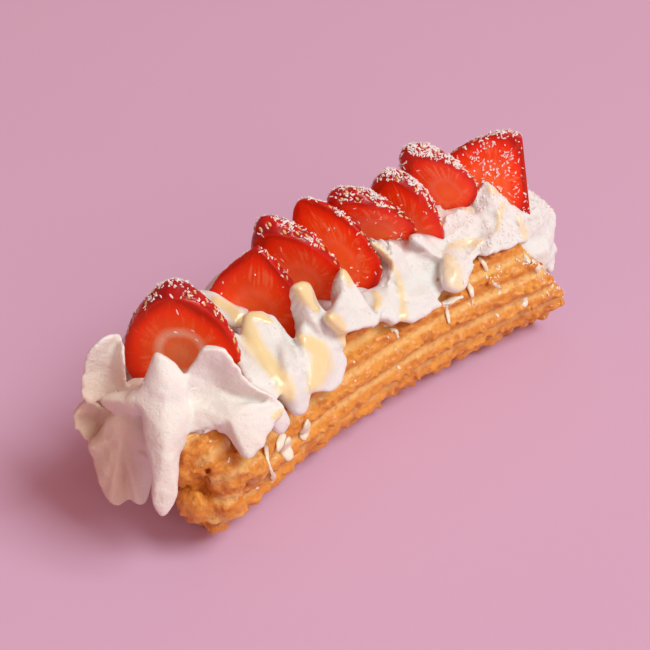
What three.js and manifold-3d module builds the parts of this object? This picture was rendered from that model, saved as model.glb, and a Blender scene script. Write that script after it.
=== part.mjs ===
// A thick ribbed churro, slit open along its top and filled with piped whipped cream.
// Eight strawberry halves lean in a row in the cream, with sauce in strands and drops.
// +X runs along the churro, -Y is its front side, and z = 0 is its flat underside.
// The origin is on the underside, below the middle of the churro.

import * as THREE from 'three';
import Module from 'manifold-3d';

const wasm = await Module();
wasm.setup();

// Driving dimensions, in millimetres and degrees
const HALF_LENGTH = 80;
const NEAR_END = -78.5;
const FAR_END = 80;
const NEAR_SLANT = 0.42;
const FAR_SLANT = 0.75;
const FAR_UNDERCUT = 0.3;
const FAR_TIP_HEIGHT = 12;
const CREST_RADIUS = 24;
const GROOVE_DEPTH = 2.8;
const RIDGES = 20;
const SMOOTH_BOTTOM_ANGLE = 18;
const RIDGED_FROM_ANGLE = 32;
const LIP_ANGLE = 6;
const AXIS_HEIGHT = 22;
const CHANNEL_RADIUS = 11.5;
const SLIT_HALF_ANGLE = 45;
const BOW = 8.5;
const END_ROUNDING = 5.5;
const CLEARANCE = 0.3;
const END_GAP_SCALE = 3;
const HUB_HEIGHT = 32;
const HUB_INSET = 15;
const DROP_THICKNESS = 2.6;
const DROP_RADIUS = CREST_RADIUS - 1;

// Fineness of the faceted surfaces
const CHURRO_STATIONS = 15;
const STEPS_PER_RIDGE = 4;
const OUTER_STEPS = ((360 - 2 * SLIT_HALF_ANGLE) * RIDGES * STEPS_PER_RIDGE) / 360;
const PLAIN_STEPS = 26;
const CHANNEL_STEPS = 10;
const CORE_STATIONS = 12;
const CORE_SIDES = 12;
const LOBE_RINGS = 6;
const LOBE_SIDES = 7;
const BERRY_RINGS = 9;
const BERRY_DOME_STEPS = 8;
const STRAND_STEPS = 6;
const STRAND_SIDES = 5;
const DROP_RINGS = 3;
const DROP_SIDES = 5;

const radians = THREE.MathUtils.degToRad;
const smoothstep = THREE.MathUtils.smoothstep;
const lerp = THREE.MathUtils.lerp;

// The bowed centre line in plan, and a point given by station, distance across and height
const bowAt = (station) => -BOW * (station / HALF_LENGTH) ** 2;
const slopeAt = (station) => (-2 * BOW * station) / HALF_LENGTH ** 2;

function place([station, across, height]) {
  const slope = slopeAt(station);
  const stretch = Math.hypot(1, slope);
  return new THREE.Vector3(
    station - (across * slope) / stretch,
    bowAt(station) + across / stretch,
    height,
  );
}

// Closed meshes from rings of points, and their joins and cuts
function capTriangles(ring) {
  const origin = ring[0];
  const normal = new THREE.Vector3();
  ring.forEach((point, i) => {
    const next = ring[(i + 1) % ring.length];
    normal.add(new THREE.Vector3().crossVectors(
      point.clone().sub(origin), next.clone().sub(origin)));
  });
  normal.normalize();
  const along = new THREE.Vector3(0, 0, 1).cross(normal);
  if (along.length() < 0.1) along.set(1, 0, 0).cross(normal);
  along.normalize();
  const up = normal.clone().cross(along);
  const flat = ring.map((point) => new THREE.Vector2(point.dot(along), point.dot(up)));
  return THREE.ShapeUtils.triangulateShape(flat, []);
}

function loft(rings) {
  const count = rings[0].length;
  const vertices = rings.flat().flatMap((point) => point.toArray());
  const triangles = [];
  for (let r = 0; r + 1 < rings.length; r += 1) {
    for (let i = 0; i < count; i += 1) {
      const a = r * count + i;
      const b = r * count + ((i + 1) % count);
      triangles.push(a, b, b + count, a, b + count, a + count);
    }
  }
  for (const [a, b, c] of capTriangles(rings[0])) triangles.push(a, c, b);
  const last = (rings.length - 1) * count;
  for (const [a, b, c] of capTriangles(rings.at(-1))) {
    triangles.push(last + a, last + b, last + c);
  }
  return solidFrom(vertices, triangles);
}

function solidFrom(vertices, triangles) {
  const solid = new wasm.Manifold(new wasm.Mesh({
    numProp: 3,
    vertProperties: new Float32Array(vertices),
    triVerts: new Uint32Array(triangles),
  }));
  if (solid.volume() > 0) return solid;
  const turned = [];
  for (let i = 0; i < triangles.length; i += 3) {
    turned.push(triangles[i], triangles[i + 2], triangles[i + 1]);
  }
  return solidFrom(vertices, turned);
}

function geometryFrom(solid) {
  const mesh = solid.getMesh();
  const geometry = new THREE.BufferGeometry();
  geometry.setAttribute('position', new THREE.BufferAttribute(mesh.vertProperties, 3));
  geometry.setIndex(new THREE.BufferAttribute(mesh.triVerts, 1));
  geometry.computeVertexNormals();
  return geometry;
}

const joined = (solids) => solids.reduce((whole, solid) => whole.add(solid));

// Churro: a ribbed tube with a V-shaped slit down to its channel, flat underneath
function nearEndAt(across) {
  return NEAR_END + NEAR_SLANT * across;
}

function farEndAt(height) {
  const above = Math.max(0, height - FAR_TIP_HEIGHT);
  const below = Math.max(0, FAR_TIP_HEIGHT - height);
  return FAR_END - FAR_SLANT * above - FAR_UNDERCUT * below;
}

function churroSection(along, inset, growth) {
  const points = [];
  const outerSteps = growth > 0 ? PLAIN_STEPS : OUTER_STEPS;
  const ridged = growth > 0 ? 0 : GROOVE_DEPTH;
  const addPoint = (radius, angle, lowest) => {
    const across = radius * Math.sin(radians(angle));
    const height = Math.max(lowest, AXIS_HEIGHT - radius * Math.cos(radians(angle)));
    const past = growth * END_GAP_SCALE;
    const station = lerp(nearEndAt(across) - past, farEndAt(height) + past, along);
    points.push(place([station, across, height]));
  };
  const rimAngle = 180 - SLIT_HALF_ANGLE - inset * 2;
  for (let i = 0; i <= outerSteps; i += 1) {
    const angle = lerp(-rimAngle, rimAngle, i / outerSteps);
    const groove = 1 - Math.abs(Math.sin((radians(angle) * RIDGES) / 2));
    const depth = ridged * groove * smoothstep(Math.abs(angle), SMOOTH_BOTTOM_ANGLE, RIDGED_FROM_ANGLE);
    addPoint(CREST_RADIUS - inset + growth - depth, angle, -growth);
  }
  const lipRadius = (CREST_RADIUS + CHANNEL_RADIUS) / 2;
  const lipAngle = rimAngle + LIP_ANGLE + growth * 2;
  addPoint(lipRadius, lipAngle, 0);
  for (let i = 0; i <= CHANNEL_STEPS; i += 1) {
    const angle = lerp(rimAngle, -rimAngle, i / CHANNEL_STEPS);
    addPoint(CHANNEL_RADIUS + inset / 2 - growth, angle, 0);
  }
  addPoint(lipRadius, -lipAngle, 0);
  return points;
}

// With a growth, the churro is a plain tube that much larger, which makes room around it
function churroSolid(growth = 0) {
  const rounding = END_ROUNDING / (FAR_END - NEAR_END);
  const ends = [[0, 1], [0.4, 0.35], [1, 0]];
  const rings = ends.map(([along, inset]) =>
    churroSection(along * rounding, inset * END_ROUNDING, growth));
  for (let i = 1; i < CHURRO_STATIONS; i += 1) {
    rings.push(churroSection(lerp(rounding, 1 - rounding, i / CHURRO_STATIONS), 0, growth));
  }
  for (const [along, inset] of ends.toReversed()) {
    rings.push(churroSection(1 - along * rounding, inset * END_ROUNDING, growth));
  }
  return loft(rings);
}

// Strawberry halves: a domed back behind a flat cut face, each with its tip up
const BERRIES = [
  { at: [-71.3, 1, 55.4], facing: -55, lean: 5, roll: 3, width: 31, length: 38, taper: 0.55 },
  { at: [-41.4, 1, 53.5], facing: -52, lean: 8, roll: 0, width: 29, length: 33, taper: 1.2 },
  { at: [-24.5, 1, 56], facing: -42, lean: 5, roll: 28, width: 24, length: 37, taper: 0.7 },
  { at: [-8, 1, 55], facing: -50, lean: 12, roll: 33, width: 22, length: 35, taper: 0.6 },
  { at: [6.95, 0, 57.5], facing: -35, lean: -8, roll: 40, width: 20, length: 36, taper: 0.6 },
  { at: [20.8, 0, 54.5], facing: -42, lean: -4, roll: 15, width: 24, length: 37, taper: 0.7 },
  { at: [36, 0, 62], facing: -35, lean: -4, roll: 38, width: 18, length: 34, taper: 0.5 },
  { at: [51, 0, 55], facing: -45, lean: 6, roll: 100, width: 33, length: 36, taper: 0.8 },
];
const BERRY_DEPTH = 0.37;
const SHOULDER = 0.3;

function berryWidth(along, taper) {
  if (along < SHOULDER) return Math.sqrt(1 - (1 - along / SHOULDER) ** 2 * 0.85);
  return (1 - ((along - SHOULDER) / (1 - SHOULDER)) ** 2) ** taper;
}

function berrySolid({ at, facing, lean, roll, width, length, taper }, growth = 0) {
  const flatFront = new THREE.Vector3(Math.sin(radians(facing)), -Math.cos(radians(facing)), 0);
  const vertical = new THREE.Vector3(0, 0, 1);
  const front = flatFront.clone().multiplyScalar(Math.cos(radians(lean)))
    .addScaledVector(vertical, Math.sin(radians(lean)));
  const rise = vertical.clone().addScaledVector(front, -front.z).normalize();
  const right = rise.clone().cross(front);
  const tipward = rise.clone().multiplyScalar(Math.cos(radians(roll)))
    .addScaledVector(right, -Math.sin(radians(roll)));
  const sideways = tipward.clone().cross(front);
  const centre = place(at).addScaledVector(front, growth);
  const rings = [];
  for (let r = 0; r <= BERRY_RINGS; r += 1) {
    const along = (1 - Math.cos((Math.PI * (r + 0.35)) / (BERRY_RINGS + 0.7))) / 2;
    const half = (width / 2) * berryWidth(along, taper) + growth;
    const deep = half * 2 * BERRY_DEPTH + growth * 2;
    const middle = centre.clone()
      .addScaledVector(tipward, (along - 0.5) * (length + 2 * growth));
    const ring = [];
    for (let i = 0; i <= BERRY_DOME_STEPS; i += 1) {
      const angle = (Math.PI * i) / BERRY_DOME_STEPS;
      ring.push(middle.clone()
        .addScaledVector(sideways, half * Math.cos(angle))
        .addScaledVector(front, -deep * Math.sin(angle)));
    }
    rings.push(ring);
  }
  return loft(rings);
}

// Whipped cream: a core that fills the channel, and piped lobes fused to it
const CORE_NEAR = -88;
const CORE_FAR = 80;
const CORE_HALF_WIDTH = 18;
const CORE_MIDDLE = 33;
const CORE_RISE = 17;
const CORE_DROP = 23;

const squared = (value) => Math.sign(value) * Math.abs(value) ** 0.75;

function coreSolid() {
  const rings = [];
  for (let r = 0; r <= CORE_STATIONS; r += 1) {
    const along = r / CORE_STATIONS;
    const station = lerp(CORE_NEAR, CORE_FAR, along);
    const ends = Math.min(1, Math.sqrt(Math.sin(Math.PI * lerp(0.03, 0.97, along)) * 4));
    const ring = [];
    for (let i = 0; i < CORE_SIDES; i += 1) {
      const angle = (2 * Math.PI * i) / CORE_SIDES;
      const height = Math.sin(angle) > 0 ? CORE_RISE : CORE_DROP;
      ring.push(place([
        station,
        CORE_HALF_WIDTH * ends * squared(Math.cos(angle)),
        CORE_MIDDLE + height * ends * squared(Math.sin(angle)),
      ]));
    }
    rings.push(ring);
  }
  return loft(rings);
}

// Each lobe follows points of station, distance across and height, from root to tip
const ROOT_SIZE = 0.6;
const ROOT_LENGTH = 0.4;
const TIP_ROUNDNESS = 0.98;
const LOBES = [
  { spine: [[-84, -3, 46], [-88, -5, 53], [-84, -2, 60]], width: 11, thick: 7, blunt: 0.3 },
  { spine: [[-84, -4, 46], [-91, -10, 46], [-94, -12, 36], [-93, -8, 15]], width: 10, thick: 8 },
  { spine: [[-84, -2, 46], [-89, 0, 47], [-91, 8, 43], [-92, 16, 41]], width: 6, thick: 6 },
  { spine: [[-84, -6, 48], [-82, -14, 51], [-77, -21, 49], [-71, -25, 43]],
    width: 19, thick: 9 },
  { spine: [[-82, -16, 50], [-80, -24, 44], [-79, -26, 34]], width: 11, thick: 6 },
  { spine: [[-82, 4, 38], [-89, 5, 35], [-93, 5, 24], [-92, 4, 14]], width: 27, thick: 8 },
  { spine: [[-80, 10, 36], [-87, 17, 34], [-89, 22, 26]], width: 15, thick: 10 },
  { spine: [[-80, 6, 46], [-84, 10, 54], [-87, 16, 53], [-87, 19, 45]], width: 13, thick: 8 },
  { spine: [[-66, -4, 50], [-62, -12, 51], [-60, -20, 45]], width: 12, thick: 7 },
  { spine: [[-60, -18, 42], [-61, -25, 34]], width: 7, thick: 5 },
  { spine: [[-57, -2, 54], [-58, -14, 51], [-57, -21, 42], [-57, -24, 38]],
    width: 12, thick: 7 },
  { spine: [[-49, -2, 54], [-49, -12, 51], [-51, -21, 43], [-55, -26, 34]],
    width: 11, thick: 7 },
  { spine: [[-44, -8, 48], [-47, -18, 47], [-45, -24, 38]], width: 12, thick: 7 },
  { spine: [[-37, -26, 31], [-36, -21, 43], [-33, -13, 51], [-31, -8, 58]],
    width: 15, thick: 8, blunt: 0.3 },
  { spine: [[-2, -3, 50], [-13, -11, 50], [-22, -17, 48], [-25, -20, 45]],
    width: 13, thick: 9 },
  { spine: [[2, -4, 50], [-2, -13, 48], [-6, -20, 41]], width: 13, thick: 7 },
  { spine: [[17, -2, 50], [15, -12, 48], [16, -19, 42]], width: 15, thick: 9 },
  { spine: [[24, -4, 48], [23, -14, 45], [22, -18, 40]], width: 10, thick: 7 },
  { spine: [[-6, -19, 40], [6, -20, 38], [17, -21, 35]], width: 9, thick: 5 },
  { spine: [[0, -3, 53], [6, -6, 55], [11, -8, 52]], width: 8, thick: 6 },
  { spine: [[20, -3, 51], [25, -7, 51], [28, -11, 47]], width: 8, thick: 6 },
  { spine: [[40, -2, 52], [35, -11, 49], [29, -19, 42], [27, -22, 37]], width: 13, thick: 8 },
  { spine: [[51, -2, 57], [51, -10, 52], [46, -18, 46], [43, -21, 42]], width: 14, thick: 8 },
  { spine: [[63, -1, 52], [62, -10, 48], [60, -17, 43]], width: 12, thick: 8 },
  { spine: [[62, 0, 40], [72, -2, 42], [78, -4, 30], [76, -6, 15]], width: 22, thick: 12 },
];

// The far side carries a like row of lobes, a little uneven
const FAR_LOBES = 8;
const FAR_LOBE_FIRST = -64;
const FAR_LOBE_SPACING = 17;

function uneven(index, seed, spread) {
  const wave = Math.sin(index * 12.9898 + seed * 78.233) * 43758.5453;
  return (wave - Math.floor(wave) - 0.5) * 2 * spread;
}

function farLobe(index) {
  const station = FAR_LOBE_FIRST + FAR_LOBE_SPACING * index + uneven(index, 1, 3);
  const lean = 5 + uneven(index, 2, 3);
  const drop = uneven(index, 3, 3);
  return {
    spine: [
      [station, 3, 49],
      [station - lean, 13, 50],
      [station - lean * 1.5, 21, 43],
      [station - lean * 1.8, 25, 34 + drop],
    ],
    width: 15 + uneven(index, 4, 2.5),
    thick: 8,
  };
}

const farLobes = Array.from({ length: FAR_LOBES }, (_, index) => farLobe(index));

function lobeSolid({ spine, width, thick, blunt = 0.55 }) {
  const curve = new THREE.CatmullRomCurve3(spine.map(place), false, 'centripetal');
  const rings = [];
  for (let r = 0; r <= LOBE_RINGS; r += 1) {
    const along = 1 - (1 - r / LOBE_RINGS) ** 1.4;
    const middle = curve.getPoint(along);
    const tangent = curve.getTangent(along);
    const hub = new THREE.Vector3(
      THREE.MathUtils.clamp(middle.x, NEAR_END + HUB_INSET, FAR_END - HUB_INSET), 0, HUB_HEIGHT);
    hub.y = bowAt(hub.x);
    const outward = middle.clone().sub(hub);
    outward.addScaledVector(tangent, -outward.dot(tangent)).normalize();
    const sideways = tangent.clone().cross(outward);
    const past = Math.max(0, (along - blunt) / (1 - blunt)) * TIP_ROUNDNESS;
    const size = lerp(ROOT_SIZE, 1, smoothstep(along, 0, ROOT_LENGTH)) * Math.sqrt(1 - past ** 2);
    const ring = [];
    for (let i = 0; i < LOBE_SIDES; i += 1) {
      const angle = (2 * Math.PI * i) / LOBE_SIDES;
      ring.push(middle.clone()
        .addScaledVector(sideways, (width / 2) * size * Math.cos(angle))
        .addScaledVector(outward, (thick / 2) * size * Math.sin(angle)));
    }
    rings.push(ring);
  }
  return loft(rings);
}

// A point at an angle from straight up towards the front, round an axis along the churro
function around(station, angle, radius, axisHeight) {
  return [
    station,
    -radius * Math.sin(radians(angle)),
    axisHeight + radius * Math.cos(radians(angle)),
  ];
}

// Sauce strands lie on the cream, and each follows points of station and angle round it
const STRANDS = [
  { path: [[-47, 2], [-55, 28], [-59, 45], [-59, 60], [-57, 72]], width: 3.4 },
  { path: [[-38, 52], [-40, 64], [-43, 74]], width: 3.6 },
  { path: [[-34, 18], [-34, 28], [-36, 42]], width: 2.4 },
  { path: [[-20, 40], [-17, 54]], width: 3 },
  { path: [[2, 14], [3, 24], [1, 36], [0, 48], [0, 60], [-1, 72]], width: 1.8 },
  { path: [[24, 46], [24, 58], [26, 72]], width: 6 },
  { path: [[53, 22], [51, 33], [47, 42]], width: 1.6 },
  { path: [[60, 40], [59, 52], [60, 62]], width: 2 },
  { path: [[-40, -32], [-39, -48], [-42, -62]], width: 2.8 },
  { path: [[19, -32], [21, -48], [19, -62]], width: 2.8 },
];
const STRAND_FLATNESS = 0.6;
const STRAND_LIFT = 0.1;
const STRAND_SAG = 0.125;
const OUTSIDE = 60;

function reachAt(surface, station, angle) {
  const hub = place([station, 0, HUB_HEIGHT]);
  const start = place(around(station, angle, OUTSIDE, HUB_HEIGHT));
  const aim = hub.clone().sub(start).normalize();
  const [hit] = new THREE.Raycaster(start, aim).intersectObject(surface, false);
  return hit ? OUTSIDE - hit.distance : 0;
}

function strandSolid({ path, width }, surface) {
  const route = new THREE.CatmullRomCurve3(
    path.map(([station, angle]) => new THREE.Vector3(station, angle, 0)));
  const stops = route.getPoints(STRAND_STEPS);
  const reach = stops.map(({ x, y }) => reachAt(surface, x, y));
  const bridged = reach.map((value, i) =>
    Math.max(value, ((reach[i - 1] ?? value) + (reach[i + 1] ?? value)) / 2 - width * STRAND_SAG));
  const middles = stops.map(({ x, y }, i) =>
    place(around(x, y, bridged[i] + width * STRAND_LIFT, HUB_HEIGHT)));
  const curve = new THREE.CatmullRomCurve3(middles);
  const rings = middles.map((middle, i) => {
    const along = i / STRAND_STEPS;
    const tangent = curve.getTangent(along);
    const outward = middle.clone().sub(place([stops[i].x, 0, HUB_HEIGHT]));
    outward.addScaledVector(tangent, -outward.dot(tangent)).normalize();
    const sideways = tangent.clone().cross(outward);
    const size = (width / 2) * Math.sqrt(1 - (2 * along - 1) ** 6 * 0.85);
    return Array.from({ length: STRAND_SIDES }, (_, side) => {
      const angle = (2 * Math.PI * side) / STRAND_SIDES;
      return middle.clone()
        .addScaledVector(sideways, size * Math.cos(angle))
        .addScaledVector(outward, size * STRAND_FLATNESS * Math.sin(angle));
    });
  });
  return loft(rings);
}

// Sauce drops on the churro's sides, by station, angle, length down the side and width
const DROPS = [
  { station: -65, angle: 92, length: 12, width: 2.6 },
  { station: -56.5, angle: 93, length: 5, width: 4.4 },
  { station: -47, angle: 91, length: 5, width: 4 },
  { station: -3.5, angle: 64, length: 4, width: 2.6 },
  { station: 21.5, angle: 74, length: 5.5, width: 2.4 },
  { station: 41.5, angle: 52, length: 3.5, width: 2.4 },
  { station: 46, angle: 72, length: 4.5, width: 2 },
  { station: 57.5, angle: 93, length: 4, width: 2.6 },
  { station: 61, angle: 58, length: 4.5, width: 2.6 },
];

function dropSolid({ station, angle, length, width }) {
  const rings = [];
  for (let r = 0; r <= DROP_RINGS; r += 1) {
    const turn = lerp(0.08, 0.92, r / DROP_RINGS) * Math.PI;
    const size = Math.sin(turn);
    const middleAngle = angle - Math.cos(turn) * THREE.MathUtils.radToDeg(length / CREST_RADIUS / 2);
    rings.push(Array.from({ length: DROP_SIDES }, (_, side) => {
      const roundAngle = (2 * Math.PI * (side + 0.5)) / DROP_SIDES;
      const out = (DROP_THICKNESS / 2) * size * Math.sin(roundAngle);
      return place(around(
        station + (width / 2) * size * Math.cos(roundAngle),
        middleAngle,
        DROP_RADIUS + out,
        AXIS_HEIGHT,
      ));
    }));
  }
  return loft(rings);
}

const churroShape = joined([churroSolid(), ...DROPS.map(dropSolid)]);
const berryShapes = BERRIES.map((berry) => berrySolid(berry));
const pipedShape = joined([coreSolid(), ...LOBES.map(lobeSolid), ...farLobes.map(lobeSolid)]);
const pipedSurface = new THREE.Mesh(geometryFrom(pipedShape));
const strands = STRANDS.map((strand) => strandSolid(strand, pipedSurface));
let creamShape = joined([pipedShape, ...strands]).subtract(churroSolid(CLEARANCE));
for (const berry of BERRIES) creamShape = creamShape.subtract(berrySolid(berry, CLEARANCE));

// The named pieces with their colours
const material = (color, roughness) => new THREE.MeshStandardMaterial({
  color, roughness, metalness: 0,
});
const doughMaterial = material(0xd98a3c, 0.6);
const creamMaterial = material(0xf3ece6, 0.55);
const berryMaterial = material(0xd93a22, 0.35);

const group = new THREE.Group();
function addPiece(name, solid, finish) {
  const mesh = new THREE.Mesh(geometryFrom(solid), finish);
  mesh.name = name;
  group.add(mesh);
}
addPiece('churro', churroShape, doughMaterial);
addPiece('cream', creamShape, creamMaterial);
berryShapes.forEach((shape, i) => addPiece(`strawberry_${i + 1}`, shape, berryMaterial));

export default group;
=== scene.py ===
"""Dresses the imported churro: fried dough, whipped cream, strawberry halves, sauce and coconut.

Lengths are in millimetres until a mesh is made. Stations run along the churro, across is
negative on its front side, and heights start at its flat underside, as in the solids.
"""
import math

import bpy
import numpy as np
import openvdb
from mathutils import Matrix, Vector


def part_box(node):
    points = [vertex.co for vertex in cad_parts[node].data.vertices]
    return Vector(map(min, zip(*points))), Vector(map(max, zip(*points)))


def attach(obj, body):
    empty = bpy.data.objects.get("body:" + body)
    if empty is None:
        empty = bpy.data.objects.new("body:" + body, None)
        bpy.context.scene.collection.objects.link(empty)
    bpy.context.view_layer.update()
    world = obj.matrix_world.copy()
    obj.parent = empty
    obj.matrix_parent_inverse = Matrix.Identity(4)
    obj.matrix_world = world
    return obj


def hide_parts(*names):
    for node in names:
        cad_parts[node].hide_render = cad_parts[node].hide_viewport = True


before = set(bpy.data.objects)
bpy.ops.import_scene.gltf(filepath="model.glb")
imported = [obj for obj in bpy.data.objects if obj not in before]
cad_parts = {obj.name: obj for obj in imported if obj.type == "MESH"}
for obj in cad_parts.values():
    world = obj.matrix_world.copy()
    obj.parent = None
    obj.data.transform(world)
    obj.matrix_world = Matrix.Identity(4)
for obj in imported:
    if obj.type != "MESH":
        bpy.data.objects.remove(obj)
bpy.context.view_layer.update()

MM = 0.001

# The churro's sizes, as in its solid
HALF_LENGTH = 80
NEAR_END = -78.5
FAR_END = 80
NEAR_SLANT = 0.42
FAR_SLANT = 0.75
FAR_UNDERCUT = 0.3
FAR_TIP_HEIGHT = 12
CREST_RADIUS = 24
GROOVE_DEPTH = 2.8
RIDGES = 20
AXIS_HEIGHT = 22
CHANNEL_RADIUS = 11.5
SLIT_HALF_ANGLE = 45
BOW = 8.5

# Fineness of the meshes that come from a grid, and the distance that its points start with
CHURRO_VOXEL = 0.5
CREAM_VOXEL = 0.6
FAR_AWAY = 6.0


# Plain maths on arrays
def smoothstep(value, low, high):
    t = np.clip((value - low) / (high - low), 0, 1)
    return t * t * (3 - 2 * t)


def smooth_min(a, b, reach):
    h = np.clip(0.5 + 0.5 * (b - a) / reach, 0, 1)
    return b + (a - b) * h - reach * h * (1 - h)


def smooth_max(a, b, reach):
    return -smooth_min(-a, -b, reach)


def unit(vectors):
    return vectors / np.maximum(np.linalg.norm(vectors, axis=-1, keepdims=True), 1e-9)


LATTICE = 32


def noise(points, size, seed):
    """Smooth random values from -1 to 1 that change over about the given size."""
    rng = np.random.default_rng(seed)
    lattice = rng.uniform(-1, 1, (LATTICE, LATTICE, LATTICE)).astype(np.float32)
    scaled = points / size + rng.uniform(0, LATTICE, 3)
    base = np.floor(scaled).astype(np.int32)
    part = (scaled - base).astype(np.float32)
    part = part * part * (3 - 2 * part)
    low = base % LATTICE
    high = (low + 1) % LATTICE
    total = np.zeros(points.shape[:-1], np.float32)
    for corner in range(8):
        picks = [corner >> axis & 1 for axis in range(3)]
        index = [np.where(pick, high[..., axis], low[..., axis])
                 for axis, pick in enumerate(picks)]
        weight = 1.0
        for axis, pick in enumerate(picks):
            weight = weight * (part[..., axis] if pick else 1 - part[..., axis])
        total += lattice[index[0], index[1], index[2]] * weight
    return total


def layered_noise(points, size, seed, layers=3, fade=0.5):
    total = 0
    strength = 1
    for layer in range(layers):
        total = total + strength * noise(points, size / 2 ** layer, seed + layer)
        strength *= fade
    return total


def mixed_noise(points, layers):
    """A sum of noises, each by its strength in mm, its size, its seed and its count of layers."""
    return sum(strength * layered_noise(points, size, seed, count)
               for strength, size, seed, count in layers)


def curve_spot(a, b, c, d, t):
    """The spot at share t of the way from b to c, on a smooth curve through four knots."""
    return 0.5 * (2 * b + (c - a) * t + (2 * a - 5 * b + 4 * c - d) * t ** 2
                  + (3 * b - a - 3 * c + d) * t ** 3)


def with_ends(knots):
    """The knots with one more at each end, so that a curve can reach the first and the last."""
    return np.vstack([2 * knots[0] - knots[1], knots, 2 * knots[-1] - knots[-2]])


# The bowed centre line, and the way between points and station, across and height
def bow_at(station):
    return -BOW * (station / HALF_LENGTH) ** 2


def slope_at(station):
    return -2 * BOW * station / HALF_LENGTH ** 2


def place(spots):
    spots = np.asarray(spots, float)
    station, across, height = spots[..., 0], spots[..., 1], spots[..., 2]
    slope = slope_at(station)
    stretch = np.hypot(1, slope)
    return np.stack([
        station - across * slope / stretch,
        bow_at(station) + across / stretch,
        height,
    ], -1)


def unplace(points):
    x, y, height = points[..., 0], points[..., 1], points[..., 2]
    station = x
    for _ in range(3):
        slope = slope_at(station)
        stretch = np.hypot(1, slope)
        across = (y - bow_at(station)) * stretch
        station = x + across * slope / stretch
    return station, across, height


# The camera, and sight lines through spots of its picture, which is 650 units wide
CAMERA_AZIMUTH = math.radians(-45.04)
CAMERA_ELEVATION = math.radians(34)
CAMERA_DISTANCE = 0.4
CAMERA_TARGET = (-0.00943, 0.00218, 0.028)
PICTURE = 650
FOCAL = 1301.2
SENSOR = 36
CAMERA_BACK = np.array([
    math.sin(CAMERA_AZIMUTH) * math.cos(CAMERA_ELEVATION),
    -math.cos(CAMERA_AZIMUTH) * math.cos(CAMERA_ELEVATION),
    math.sin(CAMERA_ELEVATION),
])
CAMERA_RIGHT = np.array([math.cos(CAMERA_AZIMUTH), math.sin(CAMERA_AZIMUTH), 0])
CAMERA_UP = np.cross(CAMERA_BACK, CAMERA_RIGHT)
EYE = (np.array(CAMERA_TARGET) + CAMERA_BACK * CAMERA_DISTANCE) / MM


def sight_lines(spots):
    spots = np.asarray(spots, float)
    right = (spots[..., :1] - PICTURE / 2) / FOCAL * CAMERA_RIGHT
    down = (spots[..., 1:2] - PICTURE / 2) / FOCAL * CAMERA_UP
    return unit(right - down - CAMERA_BACK)


# Where the search along a sight line starts and ends, in mm from the eye, and its steps
NEAREST = 200.0
FARTHEST = 700.0
HALVINGS = 40


def seen(spots):
    """Points from picture spots: left, down, and how far across the churro the point lies."""
    spots = np.asarray(spots, float)
    lines = sight_lines(spots)
    near = np.full(spots.shape[:-1], NEAREST)
    far = np.full(spots.shape[:-1], FARTHEST)
    for _ in range(HALVINGS):
        middle = (near + far) / 2
        beyond = unplace(EYE + lines * middle[..., None])[1] > spots[..., 2]
        far = np.where(beyond, middle, far)
        near = np.where(beyond, near, middle)
    return EYE + lines * near[..., None]


# A point in the middle of the near end, from which `facing` counts towards the camera
FACING_FROM = np.array([-84.0, -10, 30])


def facing(spots):
    """Points in mm from picture spots and how far each lies in front of FACING_FROM."""
    lines = sight_lines(spots)
    near = np.asarray(spots, float)[:, 2]
    reach = (near + (FACING_FROM - EYE) @ CAMERA_BACK) / (lines @ CAMERA_BACK)
    return EYE + lines * reach[:, None]


TOUCH_START = 280.0
TOUCH_STEPS = 90
TOUCH_STRIDE = 0.7


def touch(spots, field):
    """Where sight lines through picture spots first meet the surface of a distance field."""
    lines = sight_lines(spots)
    travelled = np.full(lines.shape[:-1], TOUCH_START)
    for _ in range(TOUCH_STEPS):
        travelled = travelled + TOUCH_STRIDE * field(EYE + lines * travelled[..., None])
    return EYE + lines * travelled[..., None]


def outward(points, field, step=0.4):
    """The direction in which a distance field grows fastest."""
    moves = np.eye(3) * step
    return unit(np.stack([field(points + move) - field(points - move) for move in moves], -1))


def picture_spots(points):
    """Where points stand in the picture, and their size in it for each millimetre."""
    offset = points - EYE
    depth = -(offset @ CAMERA_BACK)
    left = PICTURE / 2 + FOCAL * (offset @ CAMERA_RIGHT) / depth
    down = PICTURE / 2 - FOCAL * (offset @ CAMERA_UP) / depth
    return left, down, FOCAL / depth


# Meshes
def mesh_object(name, vertices, faces, smooth=True):
    mesh = bpy.data.meshes.new(name)
    mesh.from_pydata((np.asarray(vertices) * MM).tolist(), [], faces)
    mesh.polygons.foreach_set("use_smooth", [smooth] * len(mesh.polygons))
    mesh.update()
    piece = bpy.data.objects.new(name, mesh)
    bpy.context.scene.collection.objects.link(piece)
    return piece


def quad_mesh_object(name, vertices, quads):
    """As mesh_object, for large arrays of quads."""
    mesh = bpy.data.meshes.new(name)
    mesh.vertices.add(len(vertices))
    mesh.vertices.foreach_set("co", (np.asarray(vertices) * MM).astype(np.float32).ravel())
    mesh.loops.add(quads.size)
    mesh.loops.foreach_set("vertex_index", quads.astype(np.int32).ravel())
    mesh.polygons.add(len(quads))
    mesh.polygons.foreach_set("loop_start", np.arange(0, quads.size, 4, dtype=np.int32))
    mesh.polygons.foreach_set("use_smooth", np.ones(len(quads), bool))
    mesh.update(calc_edges=True)
    mesh.validate()
    piece = bpy.data.objects.new(name, mesh)
    bpy.context.scene.collection.objects.link(piece)
    return piece


def tube_faces(base, rings, sides):
    """The faces of a closed tube whose rings of vertices start at the number base."""
    faces = []
    for ring in range(rings - 1):
        for side in range(sides):
            a = base + ring * sides + side
            b = base + ring * sides + (side + 1) % sides
            faces.append([a, b, b + sides, a + sides])
    first = [base + side for side in range(sides)]
    last = [number + (rings - 1) * sides for number in first]
    return faces + [first[::-1], last]


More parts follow.
